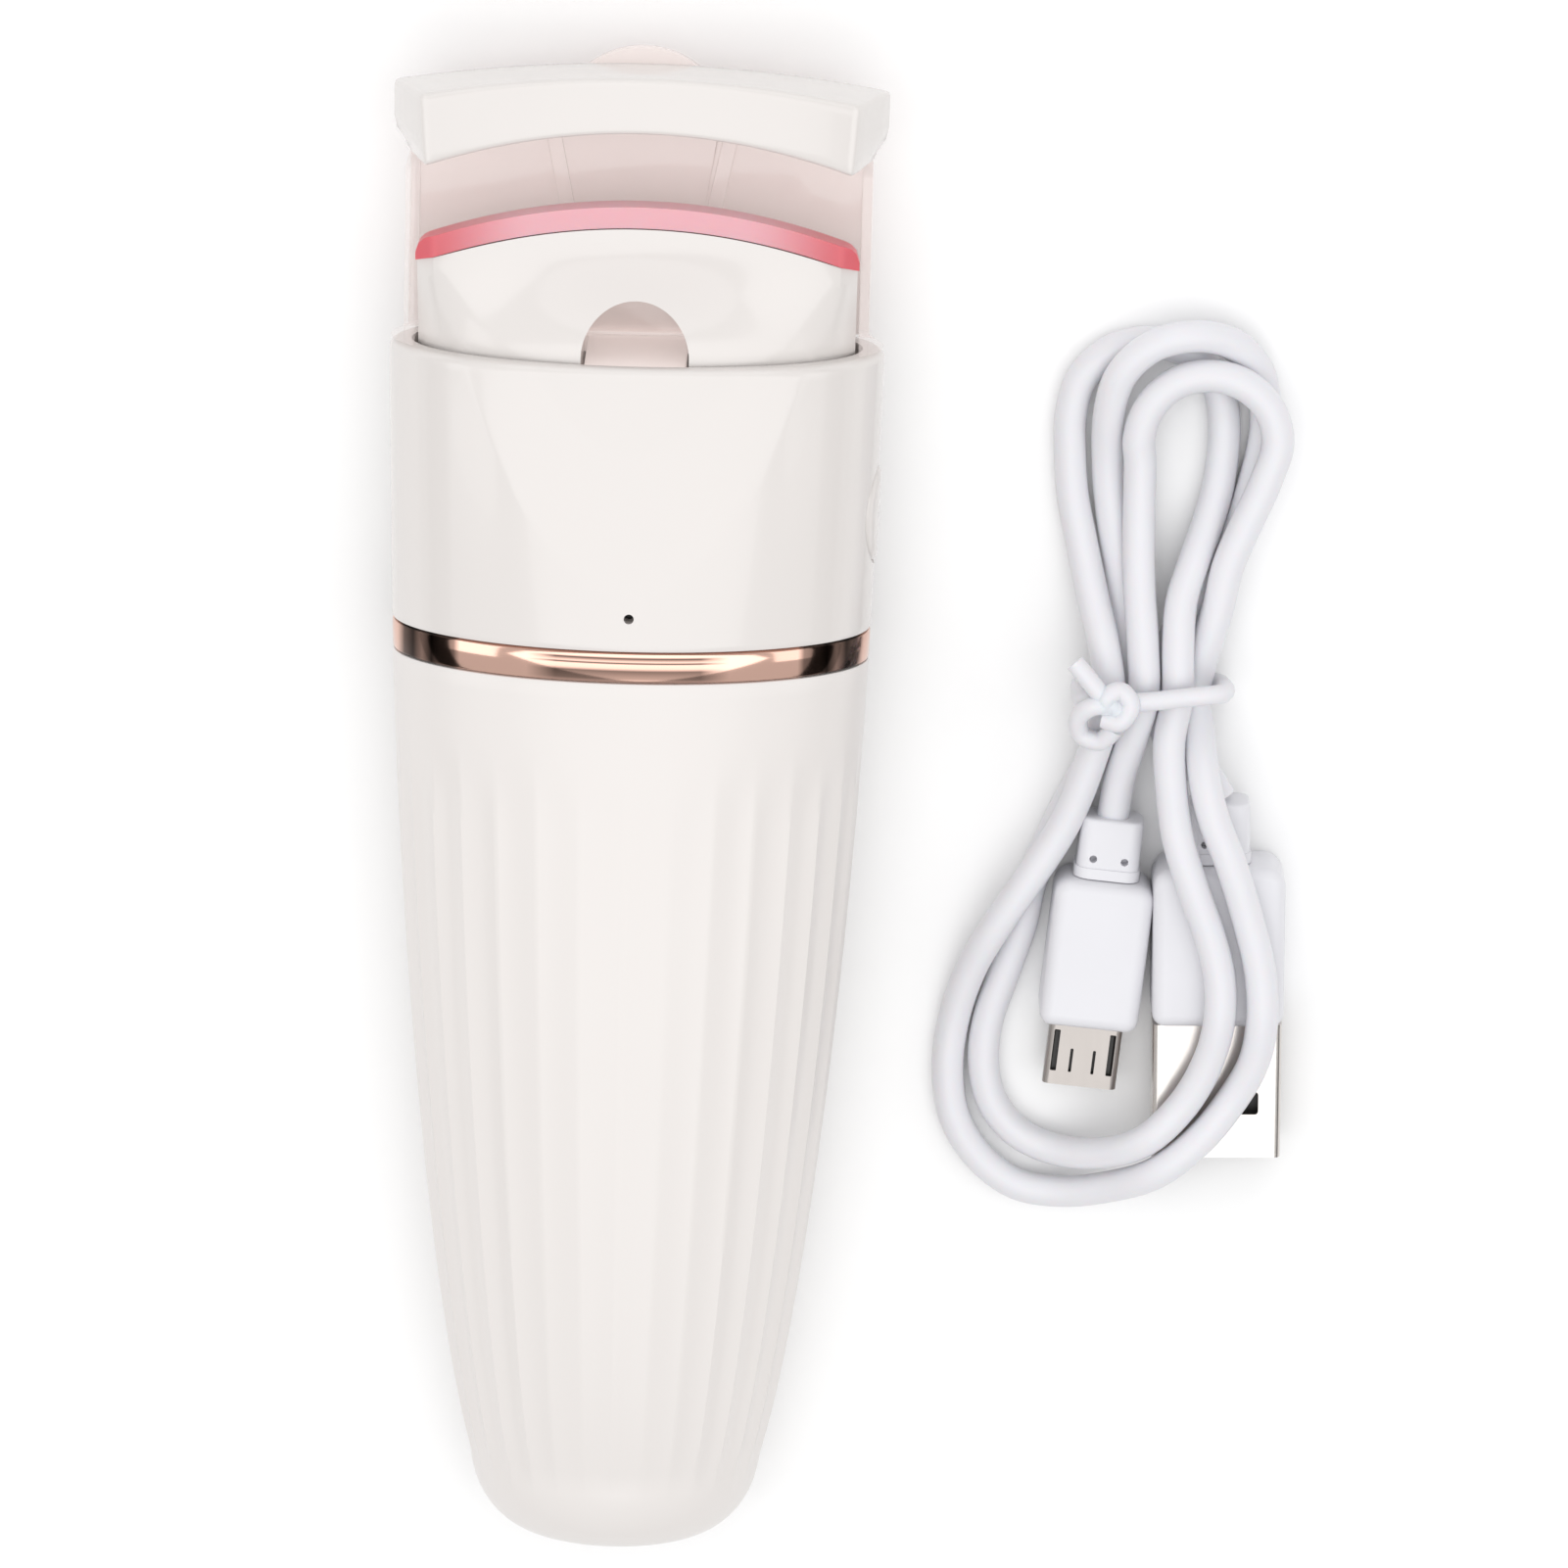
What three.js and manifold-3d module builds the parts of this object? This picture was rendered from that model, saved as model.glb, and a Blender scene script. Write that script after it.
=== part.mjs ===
// Heated eyelash curler, lying on its back, with its charging lead beside it.
// Millimetres. +X right, +Y toward the jaws, +Z out of the front face, table at Z = 0.
// Stations along the curler are measured from the foot of the handle.
import * as THREE from 'three';
import { mergeVertices } from 'three/addons/utils/BufferGeometryUtils.js';
import Module from 'manifold-3d';

const wasm = await Module();
wasm.setup();

// Driving dimensions
const handleLength = 86.1;
const shellLength = 25.6;
const rimHalfWidth = 22.25;
const rimHalfDepth = 12.1;
const handleHalfWidth = 21.6;
const footHalfWidth = 13.6;
const footFlat = 5.5;
const footStation = 8;
const lowSwell = 3.8;
const lowSwellStation = 23;
const highSwell = 1;
const highSwellStation = 58;
const handleTopDepthRatio = 0.565;
const footDepthRatio = 0.7;
const backFlat = 0.4;
const bandHeight = 2.7;
const shellWall = 2;
const handleWall = 1.8;
const footFloor = 2.2;
const fit = 0.3;
const seat = 0.1;

// Grip and shell details
const fluteCount = 32;
const fluteDepth = 0.4;
const fluteMargin = 6.1;
const fluteFade = 8;
const fluteEnd = 6;
const fluteEndFade = 5;
const rimRound = 0.8;
const dishHalfWidth = 15.4;
const dishLength = 20.7;
const dishDepth = 0.8;
const dishSlope = 1.6;
const pinholeRadius = 0.45;
const pinholeRise = 3.1;
const buttonLength = 9;
const buttonWidth = 7;
const buttonProud = 0.25;
const buttonDepth = 4.7;

// Head: jaws, sliding carriage and clear hood
const jawTravel = 6.2;
const carriageSideGap = 0.7;
const carriageFrontGap = 0.4;
const carriageBack = 3.6;
const carriageSink = 8.6;
const carriageRise = 11.2;
const carriageWall = 1.6;
const carriageRoof = 3.5;
const jawArch = 2.9;
const plateCentreDepth = 4.5;
const plateEndDepth = 8;
const endFacet = 1.5;
const padHeight = 2;
const padDepth = 3.2;
const padOverhang = 0.15;
const padCorner = 1.2;
const heaterThickness = 0.5;
const heaterInset = 1.7;
const archRadius = 4.8;
const archRise = 5.3;
const jawHeight = 5;
const jawRearDepth = 4.1;
const jawEndRear = 0.5;
const jawFlare = 0.45;
const jawFrontInset = 0.25;
const jawFrontTaper = 0.4;
const jawProud = 0.05;
const roofArch = 1.3;
const hoodWallFront = 4.4;
const hoodWallThickness = 1.5;
const hoodWallRise = 1.7;
const hoodSideThickness = 0.9;
const hoodSideFront = 4.5;
const tabRadius = 8;
const tabProud = 1.3;
const floorThickness = 1.5;
const flareRadius = 1.7;
const ribWidth = 1.3;
const ribHeight = 0.4;
const ribLength = 13;
const ribOffset = 7.1;
const ribTilt = 0.2;

// Inside
const guideThickness = 1.2;
const guideGap = 0.5;
const legOffset = 9.5;
const legRise = 3.5;
const legRadius = 1.8;
const springGap = 0.7;
const springWire = 0.25;
const springTurns = 7;
const springClosed = 5.3;
const cupBrim = 0.5;
const cupThickness = 1;
const screwRadius = 0.8;
const screwLength = 5;
const screwHead = 0.8;
const trayRise = 2;
const trayThickness = 1.2;
const trayHalfWidth = 7;
const trayWideHalf = 11;
const trayLead = 10;
const postOffset = 8;
const postInset = 4;
const postRadius = 1.8;
const batteryWidth = 20;
const batteryLength = 45;
const batteryThickness = 8;
const batteryCorner = 2.5;
const batteryGap = 7;
const boardLength = 27;
const boardGap = 3.3;
const boardThickness = 1.2;
const boardRise = 4.4;
const ledSize = 1.6;
const ledHeight = 0.8;
const pipeRadius = 1.1;
const socketWidth = 7.6;
const socketHeight = 2.8;
const socketDepth = 5.6;
const socketSink = 0.5;
const socketWall = 0.3;
const socketBoardHalfWidth = 5;
const socketBoardLength = 8.1;
const socketBoardThickness = 1;
const tongueHalfWidth = 1.8;
const tongueHalfThickness = 0.3;
const tongueRise = 0.4;
const switchSize = 6;
const switchThickness = 3.2;
const switchBore = 1.5;
const plungerRadius = 1.2;
const plungerLength = 1.6;
const plungerProud = 0.8;

// Places that follow from the sizes
const midZ = rimHalfDepth - backFlat;
const shellBottom = handleLength + bandHeight + 2 * seat;
const rimStation = shellBottom + shellLength;
const carriageHalfWidth = rimHalfWidth - shellWall - carriageSideGap;
const carriageFront = rimHalfDepth - shellWall - carriageFrontGap;
const carriageBottom = rimStation - carriageSink;
const carriageTop = rimStation + carriageRise;
const archTop = rimStation + archRise;
const padHalfWidth = carriageHalfWidth + padOverhang;
const jawCrown = carriageTop + padHeight + jawTravel + fit;
const jawFrontHalfWidth = carriageHalfWidth - jawFrontInset;
const roofCentre = jawCrown + jawHeight;
const overallLength = roofCentre + tabProud;
const hoodInner = carriageHalfWidth + fit;
const hoodOuter = hoodInner + hoodSideThickness;
const hoodWallTop = jawCrown + hoodWallRise;
const fluteStart = handleLength - fluteMargin;
const pinholeStation = shellBottom + pinholeRise;
const guideStation = carriageBottom - guideThickness - guideGap;
const legBottom = guideStation - jawTravel - springClosed;
const springRadius = legRadius + springGap;
const cupRadius = springRadius + cupBrim;
const buttonStation = guideStation - 2 * seat - buttonLength / 2;
const trayBottom = handleWall + trayRise;
const trayTop = trayBottom + trayThickness;
const boardZ = trayTop + boardRise;
const boardStation = guideStation - boardGap - boardLength;
const batteryStation = boardStation - batteryGap - batteryLength;

// ---------------------------------------------------------------- materials
function finish(color, roughness, metalness = 0, opacity = 1) {
  return new THREE.MeshStandardMaterial({ color, roughness, metalness, opacity, transparent: opacity < 1 });
}
const white = finish(0xf4f0ed, 0.25);
const roseGold = finish(0xd9a996, 0.12, 1);
const clearTint = finish(0xead9d2, 0.1, 0, 0.5);
const pinkSilicone = finish(0xec8fa0, 0.5);
const steel = finish(0xd3cac5, 0.25, 1);
const blackPlastic = finish(0x1c1b1a, 0.5);
const greyPlastic = finish(0x9a9a9a, 0.6);
const boardGreen = finish(0x1e6b3c, 0.5);
const foilGrey = finish(0xb9bcc0, 0.35, 0.6);
const leadWhite = finish(0xeeedf2, 0.45);

// ---------------------------------------------------------------- solids
// A closed body from any three.js geometry, with its faces pointing out.
function solid(geometry) {
  const bare = geometry.index ? geometry.clone() : mergeVertices(geometry);
  bare.deleteAttribute('normal');
  bare.deleteAttribute('uv');
  const merged = mergeVertices(bare, 1e-4);
  const points = merged.attributes.position.array;
  const faces = [];
  let volume = 0;
  for (let i = 0; i < merged.index.count; i += 3) {
    const [a, b, c] = [0, 1, 2].map((k) => merged.index.array[i + k]);
    if (a === b || b === c || c === a) {
      continue;
    }
    faces.push(a, b, c);
    const [p, q, r] = [a, b, c].map((k) => new THREE.Vector3().fromArray(points, 3 * k));
    volume += p.dot(q.cross(r));
  }
  if (volume < 0) {
    faces.reverse();
  }
  const mesh = new wasm.Mesh({
    numProp: 3,
    vertProperties: new Float32Array(points),
    triVerts: new Uint32Array(faces),
  });
  return new wasm.Manifold(mesh);
}

function toGeometry(body) {
  const mesh = body.getMesh();
  const geometry = new THREE.BufferGeometry();
  geometry.setAttribute('position', new THREE.BufferAttribute(mesh.vertProperties, 3));
  geometry.setIndex(new THREE.BufferAttribute(mesh.triVerts, 1));
  return geometry;
}

function join(...bodies) {
  return bodies.reduce((sum, body) => sum.add(body));
}

function box(x0, x1, y0, y1, z0, z1) {
  const geometry = new THREE.BoxGeometry(x1 - x0, y1 - y0, z1 - z0);
  geometry.translate((x0 + x1) / 2, (y0 + y1) / 2, (z0 + z1) / 2);
  return solid(geometry);
}

// A cylinder between two stations, parallel to Y.
function rod(x, z, radius, y0, y1, sides = 24) {
  const geometry = new THREE.CylinderGeometry(radius, radius, y1 - y0, sides);
  geometry.translate(x, (y0 + y1) / 2, z);
  return solid(geometry);
}

// A cylinder parallel to Z.
function post(x, y, radius, z0, z1, sides = 16) {
  const geometry = new THREE.CylinderGeometry(radius, radius, z1 - z0, sides);
  geometry.rotateX(Math.PI / 2);
  geometry.translate(x, y, (z0 + z1) / 2);
  return solid(geometry);
}

function prism(shape, depth, curveSegments = 12) {
  return new THREE.ExtrudeGeometry(shape, { depth, curveSegments, bevelEnabled: false });
}

function roundedRectangle(width, height, radius) {
  const [x, y] = [width / 2, height / 2];
  const shape = new THREE.Shape();
  shape.moveTo(-x + radius, -y);
  shape.lineTo(x - radius, -y);
  shape.absarc(x - radius, -y + radius, radius, -Math.PI / 2, 0);
  shape.absarc(x - radius, y - radius, radius, 0, Math.PI / 2);
  shape.absarc(-x + radius, y - radius, radius, Math.PI / 2, Math.PI);
  shape.absarc(-x + radius, -y + radius, radius, Math.PI, 1.5 * Math.PI);
  return shape;
}

// A gridded block whose vertices are placed by a function of across, up and front, each 0 to 1.
function formed(across, up, deep, place) {
  const geometry = new THREE.BoxGeometry(1, 1, 1, across, up, deep);
  const position = geometry.attributes.position;
  for (let i = 0; i < position.count; i += 1) {
    const point = place(position.getX(i) + 0.5, position.getY(i) + 0.5, position.getZ(i) + 0.5);
    position.setXYZ(i, ...point);
  }
  return solid(geometry);
}

const smooth = (from, to, value) => THREE.MathUtils.smoothstep(value, from, to);
const mix = THREE.MathUtils.lerp;

// ---------------------------------------------------------------- body form
// The outline of the curler seen from the front: half width against station.
const outline = new THREE.Path();
outline.moveTo(footFlat, 0);
outline.bezierCurveTo(footHalfWidth - 4.4, 0, footHalfWidth - 0.7, 2.2, footHalfWidth, footStation);
outline.bezierCurveTo(
  footHalfWidth + lowSwell, lowSwellStation,
  handleHalfWidth - highSwell, highSwellStation,
  handleHalfWidth, handleLength,
);
outline.lineTo(rimHalfWidth, rimStation);
const outlinePoints = outline.getPoints(60);

function halfWidth(station) {
  const above = outlinePoints.findIndex((point) => point.y >= station);
  if (above < 0) {
    return rimHalfWidth;
  }
  if (above === 0) {
    return footFlat;
  }
  const [low, high] = [outlinePoints[above - 1], outlinePoints[above]];
  return mix(low.x, high.x, (station - low.y) / (high.y - low.y));
}

function halfDepth(station) {
  const along = Math.min(station / handleLength, 1);
  const handle = halfWidth(station) * mix(footDepthRatio, handleTopDepthRatio, along);
  return mix(handle, rimHalfDepth, smooth(handleLength, rimStation, station));
}

function centreZ(station) {
  return halfDepth(Math.max(station, footStation)) - backFlat;
}

const buttonInner = halfWidth(buttonStation) - buttonDepth;
const switchFace = buttonInner - fit - plungerProud;
const boardHalfWidth = switchFace - switchThickness - seat;

function flute(station, angle) {
  const above = 1 - smooth(fluteStart - fluteFade, fluteStart, station);
  const below = smooth(fluteEnd, fluteEnd + fluteEndFade, station);
  return fluteDepth * above * below * Math.abs(Math.sin((fluteCount * angle) / 2));
}

function dish(x, station) {
  const inside = (station - rimStation) / dishLength + 1 - (x / dishHalfWidth) ** 2;
  return inside > 0 ? dishDepth * Math.min(inside * dishSlope, 1) : 0;
}

// A body turned about Y and drawn to the curler's section. Each profile entry is a station and a depth
// below the surface, or null on the axis; carve gives extra depth at an angle from the front.
function turned(profile, segments, carve = () => 0) {
  const points = profile.map(([station, depth]) => {
    const radius = depth === null ? 0 : halfWidth(station) - depth;
    return new THREE.Vector2(radius, station);
  });
  const geometry = new THREE.LatheGeometry(points, segments);
  const position = geometry.attributes.position;
  for (let i = 0; i < position.count; i += 1) {
    const [station, depth] = profile[i % profile.length];
    const angle = (Math.floor(i / profile.length) * 2 * Math.PI) / segments;
    const below = depth === null ? 0 : depth + carve(station, angle, depth);
    const across = depth === null ? 0 : (halfWidth(station) - below) * Math.sin(angle);
    const out = depth === null ? 0 : (halfDepth(station) - below) * Math.cos(angle);
    const z = Math.max(centreZ(station) + out, depth === null ? 0 : Math.max(depth, 0));
    position.setXYZ(i, across, station, z);
  }
  return solid(geometry);
}

// ---------------------------------------------------------------- shells
function spaced(from, to, count, depth) {
  return Array.from({ length: count + 1 }, (_, i) => [mix(from, to, i / count), depth]);
}

function handleSleeve() {
  const foot = [0, 0.7, 2, 4.5].map((station) => [station, 0]);
  const inner = [[footFloor, null], [footFloor, handleWall + 1.5], [5, handleWall]];
  const profile = [
    [0, null],
    ...foot,
    ...spaced(footStation, fluteStart, 8, 0),
    [handleLength, 0],
    [handleLength, handleWall],
    ...spaced(fluteStart, footStation, 3, handleWall),
    ...inner.reverse(),
  ];
  const grooves = (station, angle, depth) => (depth === 0 ? flute(station, angle) : 0);
  const portZ = centreZ(0);
  const gap = socketWall + fit;
  const port = box(
    -socketWidth / 2 - gap, socketWidth / 2 + gap,
    -1, handleWall + 1,
    portZ - socketHeight / 2 - gap, portZ + socketHeight / 2 + gap,
  );
  return turned(profile, fluteCount * 3, grooves).subtract(port);
}

function trimRing() {
  const [low, high] = [handleLength + seat, handleLength + seat + bandHeight];
  return turned([[low, 0], [high, 0], [high, shellWall], [low, shellWall], [low, 0]], 64);
}

function buttonPrism(grow, inner, outer) {
  const shape = new THREE.Shape();
  shape.absellipse(0, 0, buttonWidth / 2 + grow, buttonLength / 2 + grow, 0, 2 * Math.PI);
  const geometry = prism(shape, outer - inner, 28);
  geometry.rotateY(Math.PI / 2);
  geometry.translate(inner, buttonStation, centreZ(buttonStation));
  return solid(geometry);
}

function upperShell() {
  const profile = [
    ...spaced(shellBottom, rimStation - rimRound, 9, 0),
    [rimStation - rimRound * 0.3, rimRound * 0.3],
    [rimStation, rimRound],
    ...spaced(rimStation, shellBottom, 4, shellWall),
    [shellBottom, 0],
  ];
  const scoop = (station, angle, depth) => {
    const front = Math.cos(angle) > 0 && depth < shellWall;
    return front ? dish(halfWidth(station) * Math.sin(angle), station) * Math.cos(angle) : 0;
  };
  const pinhole = post(0, pinholeStation, pinholeRadius, midZ, 3 * midZ, 12);
  const buttonHole = buttonPrism(fit, buttonInner - fit, rimHalfWidth + 2);
  return turned(profile, 80, scoop).subtract(pinhole).subtract(buttonHole);
}

// ---------------------------------------------------------------- clear hood
// A plate across the inside of the shell: local Z of the drawing becomes the station.
function crossPlate(shape, station, thickness, curveSegments = 48) {
  const geometry = prism(shape, thickness, curveSegments);
  geometry.rotateX(Math.PI / 2);
  geometry.translate(0, station + thickness, centreZ(station));
  const back = box(-rimHalfWidth, rimHalfWidth, station - 1, station + thickness + 1, -1, shellWall + fit);
  return solid(geometry).subtract(back);
}

function ellipseShape(rx, rz) {
  const shape = new THREE.Shape();
  shape.absellipse(0, 0, rx, rz, 0, 2 * Math.PI);
  return shape;
}

function hoodFloor() {
  const station = rimStation - fit - floorThickness;
  const rx = rimHalfWidth - shellWall - fit;
  const rz = rimHalfDepth - shellWall - fit;
  const plate = crossPlate(ellipseShape(rx, rz), station, floorThickness);
  const [back, front] = [midZ - carriageBack - fit, midZ + rimHalfDepth];
  const tongue = archRadius - fit;
  const left = box(-rimHalfWidth, -tongue, station - 1, rimStation + 1, back, front);
  const right = box(tongue, rimHalfWidth, station - 1, rimStation + 1, back, front);
  return plate.subtract(left).subtract(right);
}

function hoodFrame() {
  const base = rimStation - fit - floorThickness;
  const [wallFront, wallBack] = [midZ - hoodWallFront, midZ - hoodWallFront - hoodWallThickness];
  const outlineShape = new THREE.Shape();
  const tabCentre = overallLength - tabRadius;
  const tabHalf = Math.sqrt(tabRadius ** 2 - (hoodWallTop - tabCentre) ** 2);
  const tabAngle = Math.asin((hoodWallTop - tabCentre) / tabRadius);
  const foot = rimStation + fit;
  const [rx, rz] = [rimHalfWidth - shellWall - 2 * fit, rimHalfDepth - shellWall - 2 * fit];
  const wallHalf = rx * Math.sqrt(1 - ((hoodWallFront + hoodWallThickness) / rz) ** 2);
  outlineShape.moveTo(-wallHalf, base);
  outlineShape.lineTo(wallHalf, base);
  outlineShape.lineTo(wallHalf, foot);
  outlineShape.lineTo(hoodOuter, foot);
  outlineShape.lineTo(hoodOuter, hoodWallTop);
  outlineShape.lineTo(tabHalf, hoodWallTop);
  outlineShape.absarc(0, tabCentre, tabRadius, tabAngle, Math.PI - tabAngle);
  outlineShape.lineTo(-hoodOuter, hoodWallTop);
  outlineShape.lineTo(-hoodOuter, foot);
  outlineShape.lineTo(-wallHalf, foot);
  const wallGeometry = prism(outlineShape, hoodWallThickness, 16);
  wallGeometry.translate(0, 0, wallBack);
  let hood = join(solid(wallGeometry), hoodFloor());
  const sideTop = jawBottom(carriageHalfWidth) - fit;
  const flare = turned([
    [foot, 0.1],
    [foot + flareRadius * 0.2, flareRadius * 0.55],
    [foot + flareRadius, rimHalfWidth - hoodOuter],
    [foot + flareRadius, shellWall],
    [foot, shellWall],
    [foot, 0.1],
  ], 80);
  const slot = box(-hoodInner, hoodInner, foot - 1, foot + 4, wallBack, midZ + rimHalfDepth);
  const rear = box(-rimHalfWidth, rimHalfWidth, foot - 1, foot + 4, -1, wallBack);
  hood = hood.add(flare.subtract(slot).subtract(rear));
  for (const side of [-1, 1]) {
    const [x0, x1] = [side * hoodInner, side * hoodOuter].sort((a, b) => a - b);
    hood = hood.add(box(x0, x1, foot, sideTop, wallBack, midZ + hoodSideFront));
    const rib = new THREE.BoxGeometry(ribWidth, ribLength, 2 * ribHeight);
    rib.rotateZ(-side * ribTilt);
    rib.translate(side * ribOffset, jawCrown + 0.7 - ribLength / 2, wallFront);
    hood = hood.add(solid(rib));
  }
  return hood;
}

// ---------------------------------------------------------------- upper jaw
function jawBottom(x) {
  return jawCrown - jawArch * (x / carriageHalfWidth) ** 2;
}

function plateDepth(x) {
  return mix(plateCentreDepth, plateEndDepth, Math.min((x / carriageHalfWidth) ** 2, 1));
}

function upperJaw() {
  return formed(18, 5, 2, (across, up, deep) => {
    const side = 2 * across - 1;
    const rearHalf = mix(hoodOuter, rimHalfWidth, smooth(0, jawFlare, up)) - jawProud;
    const frontHalf = mix(jawFrontHalfWidth - jawFrontTaper, jawFrontHalfWidth, up);
    const x = side * mix(rearHalf, frontHalf, deep);
    const roof = roofCentre - roofArch * side ** 2;
    const y = mix(jawBottom(Math.min(Math.abs(x), jawFrontHalfWidth)), roof, up);
    const rear = mix(-jawRearDepth, -jawEndRear, side ** 2);
    return [x, y, midZ + mix(rear, plateDepth(x), deep)];
  });
}

// ---------------------------------------------------------------- carriage
function carriageCrest(x) {
  return carriageTop - jawArch * (x / carriageHalfWidth) ** 2;
}

function carriageFace(x, station) {
  const convex = carriageFront * Math.sqrt(Math.max(1 - (x / (carriageHalfWidth + 0.65)) ** 2, 0));
  const lean = smooth(rimStation, carriageTop, station);
  const facet = Math.max(Math.abs(x) - carriageHalfWidth + endFacet, 0);
  return mix(convex, plateDepth(x) - facet, lean);
}

function carriageBlock(x0, x1, y0, topDrop, backInset, frontInset, across = 20) {
  return formed(across, 6, 1, (u, up, deep) => {
    const x = mix(x0, x1, u);
    const y = mix(y0, carriageCrest(x) - topDrop, up);
    const z = deep > 0.5 ? carriageFace(x, y) - frontInset : -carriageBack + backInset;
    return [x, y, midZ + z];
  });
}

function archTunnel() {
  const shape = new THREE.Shape();
  shape.moveTo(-archRadius, carriageBottom - 1);
  shape.lineTo(archRadius, carriageBottom - 1);
  shape.lineTo(archRadius, archTop - archRadius);
  shape.absarc(0, archTop - archRadius, archRadius, 0, Math.PI);
  const geometry = prism(shape, 4 * rimHalfDepth, 20);
  geometry.translate(0, 0, midZ - 2 * rimHalfDepth);
  return solid(geometry);
}

// What the skirt has to stay out of: everything inside the shell but its hollow.
function shellSurround() {
  const [low, high] = [carriageBottom - 2, rimStation + fit];
  const depth = shellWall + carriageFrontGap;
  const hollow = turned([[low - 1, null], ...spaced(low - 1, high + 1, 4, depth), [high + 1, null]], 80);
  return box(-rimHalfWidth, rimHalfWidth, low, high, 0, 3 * rimHalfDepth).subtract(hollow);
}

function carriage() {
  let body = carriageBlock(-carriageHalfWidth, carriageHalfWidth, carriageBottom, 0, 0, 0);
  body = body.subtract(archTunnel()).subtract(shellSurround());
  const grooveHalf = carriageHalfWidth - heaterInset + fit;
  const groove = formed(28, 1, 1, (u, up, deep) => {
    const x = mix(-grooveHalf, grooveHalf, u);
    const y = carriageCrest(x) + mix(-heaterThickness - 2 * fit, 1, up);
    const front = plateDepth(x) - heaterInset + fit;
    return [x, y, midZ + mix(front - padDepth + heaterInset - fit, front, deep)];
  });
  body = body.subtract(groove);
  for (const side of [-1, 1]) {
    const inner = side * (archRadius + carriageWall);
    const outer = side * (carriageHalfWidth - carriageWall - 0.5);
    const [x0, x1] = side < 0 ? [outer, inner] : [inner, outer];
    const roofDrop = carriageWall + heaterThickness + carriageRoof;
    const pocket = carriageBlock(x0, x1, carriageBottom - 1, roofDrop, carriageWall, carriageWall + 0.6, 6);
    body = body.subtract(pocket);
    const x = side * legOffset;
    const leg = rod(x, midZ + legRise, legRadius, legBottom, carriageTop - roofDrop);
    const bore = rod(x, midZ + legRise, screwRadius + fit, legBottom - 1, legBottom + screwLength + 1, 12);
    body = body.add(leg).subtract(bore);
  }
  return body;
}

function archStrip(half, bottom, top, rear, front) {
  return formed(28, 1, 1, (u, up, deep) => {
    const x = mix(-half, half, u);
    const y = carriageCrest(x) + mix(bottom, top, up);
    return [x, y, midZ + plateDepth(x) + mix(rear, front, deep)];
  });
}

function lashPad() {
  return formed(40, 1, 1, (u, up, deep) => {
    const x = mix(-padHalfWidth, padHalfWidth, u);
    const past = Math.max(Math.abs(x) - padHalfWidth + padCorner, 0);
    const round = padCorner - Math.sqrt(padCorner ** 2 - past ** 2);
    const y = carriageCrest(x) + mix(seat, padHeight - round, up);
    const facet = Math.max(Math.abs(x) - carriageHalfWidth + endFacet, 0);
    return [x, y, midZ + plateDepth(x) + mix(-padDepth, -facet, deep)];
  });
}

function heaterPlate() {
  const half = carriageHalfWidth - heaterInset;
  return archStrip(half, -fit - heaterThickness, -fit, -padDepth + fit, -heaterInset);
}

// ---------------------------------------------------------------- return springs and guide
function guidePlate() {
  const rx = halfWidth(guideStation) - shellWall - fit;
  const rz = halfDepth(guideStation) - shellWall - 2 * fit;
  let plate = crossPlate(ellipseShape(rx, rz), guideStation, guideThickness);
  for (const side of [-1, 1]) {
    const [x, z] = [side * legOffset, midZ + legRise];
    plate = plate.subtract(rod(x, z, legRadius + fit, guideStation - 1, carriageBottom + 1));
  }
  return plate;
}

function returnSpring(side) {
  class Helix extends THREE.Curve {
    getPoint(t, target = new THREE.Vector3()) {
      const angle = 2 * Math.PI * springTurns * t;
      const rise = mix(legBottom + springWire + seat, guideStation - springWire - seat, t);
      const x = side * legOffset + springRadius * Math.cos(angle);
      return target.set(x, rise, midZ + legRise + springRadius * Math.sin(angle));
    }
  }
  const wire = new THREE.Shape();
  wire.absarc(0, 0, springWire, 0, 2 * Math.PI);
  return solid(new THREE.ExtrudeGeometry(wire, {
    steps: springTurns * 10,
    curveSegments: 3,
    extrudePath: new Helix(),
  }));
}

function springCup(side) {
  const top = legBottom - seat;
  const cup = rod(side * legOffset, midZ + legRise, cupRadius, top - cupThickness, top);
  return cup.subtract(rod(side * legOffset, midZ + legRise, screwRadius + fit, 0, legBottom, 12));
}

function footScrew(side) {
  const under = legBottom - 2 * seat - cupThickness;
  const middle = under - screwHead / 2;
  const shank = rod(side * legOffset, midZ + legRise, screwRadius, middle, legBottom + screwLength, 12);
  return shank.add(rod(side * legOffset, midZ + legRise, 2 * screwRadius, under - screwHead, under, 12));
}

// ---------------------------------------------------------------- electronics and tray
function tray() {
  const [half, wide] = [trayHalfWidth, trayWideHalf];
  const batteryEnd = batteryStation + batteryLength;
  const strip = box(-half, half, batteryStation - trayLead, batteryEnd + 2, trayBottom, trayTop);
  const deck = box(-wide, wide, batteryEnd + 1, guideStation - fit, trayBottom, trayTop);
  const stops = [batteryStation - fit - trayThickness, batteryEnd + fit].map((station) => (
    box(-half, half, station, station + trayThickness, trayBottom, trayTop + batteryThickness / 2)
  ));
  const posts = [-1, 1].map((side) => {
    const [x, y] = [side * postOffset, boardStation + postInset];
    const bore = post(x, y, screwRadius + fit, trayTop, boardZ, 12);
    return post(x, y, postRadius, trayBottom, boardZ - seat).subtract(bore);
  });
  return join(strip, deck, ...stops, ...posts);
}

function batteryCell() {
  const geometry = prism(roundedRectangle(batteryWidth, batteryThickness, batteryCorner), batteryLength, 5);
  geometry.rotateX(Math.PI / 2);
  geometry.translate(0, batteryStation + batteryLength, trayTop + seat + batteryThickness / 2);
  return solid(geometry);
}

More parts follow.
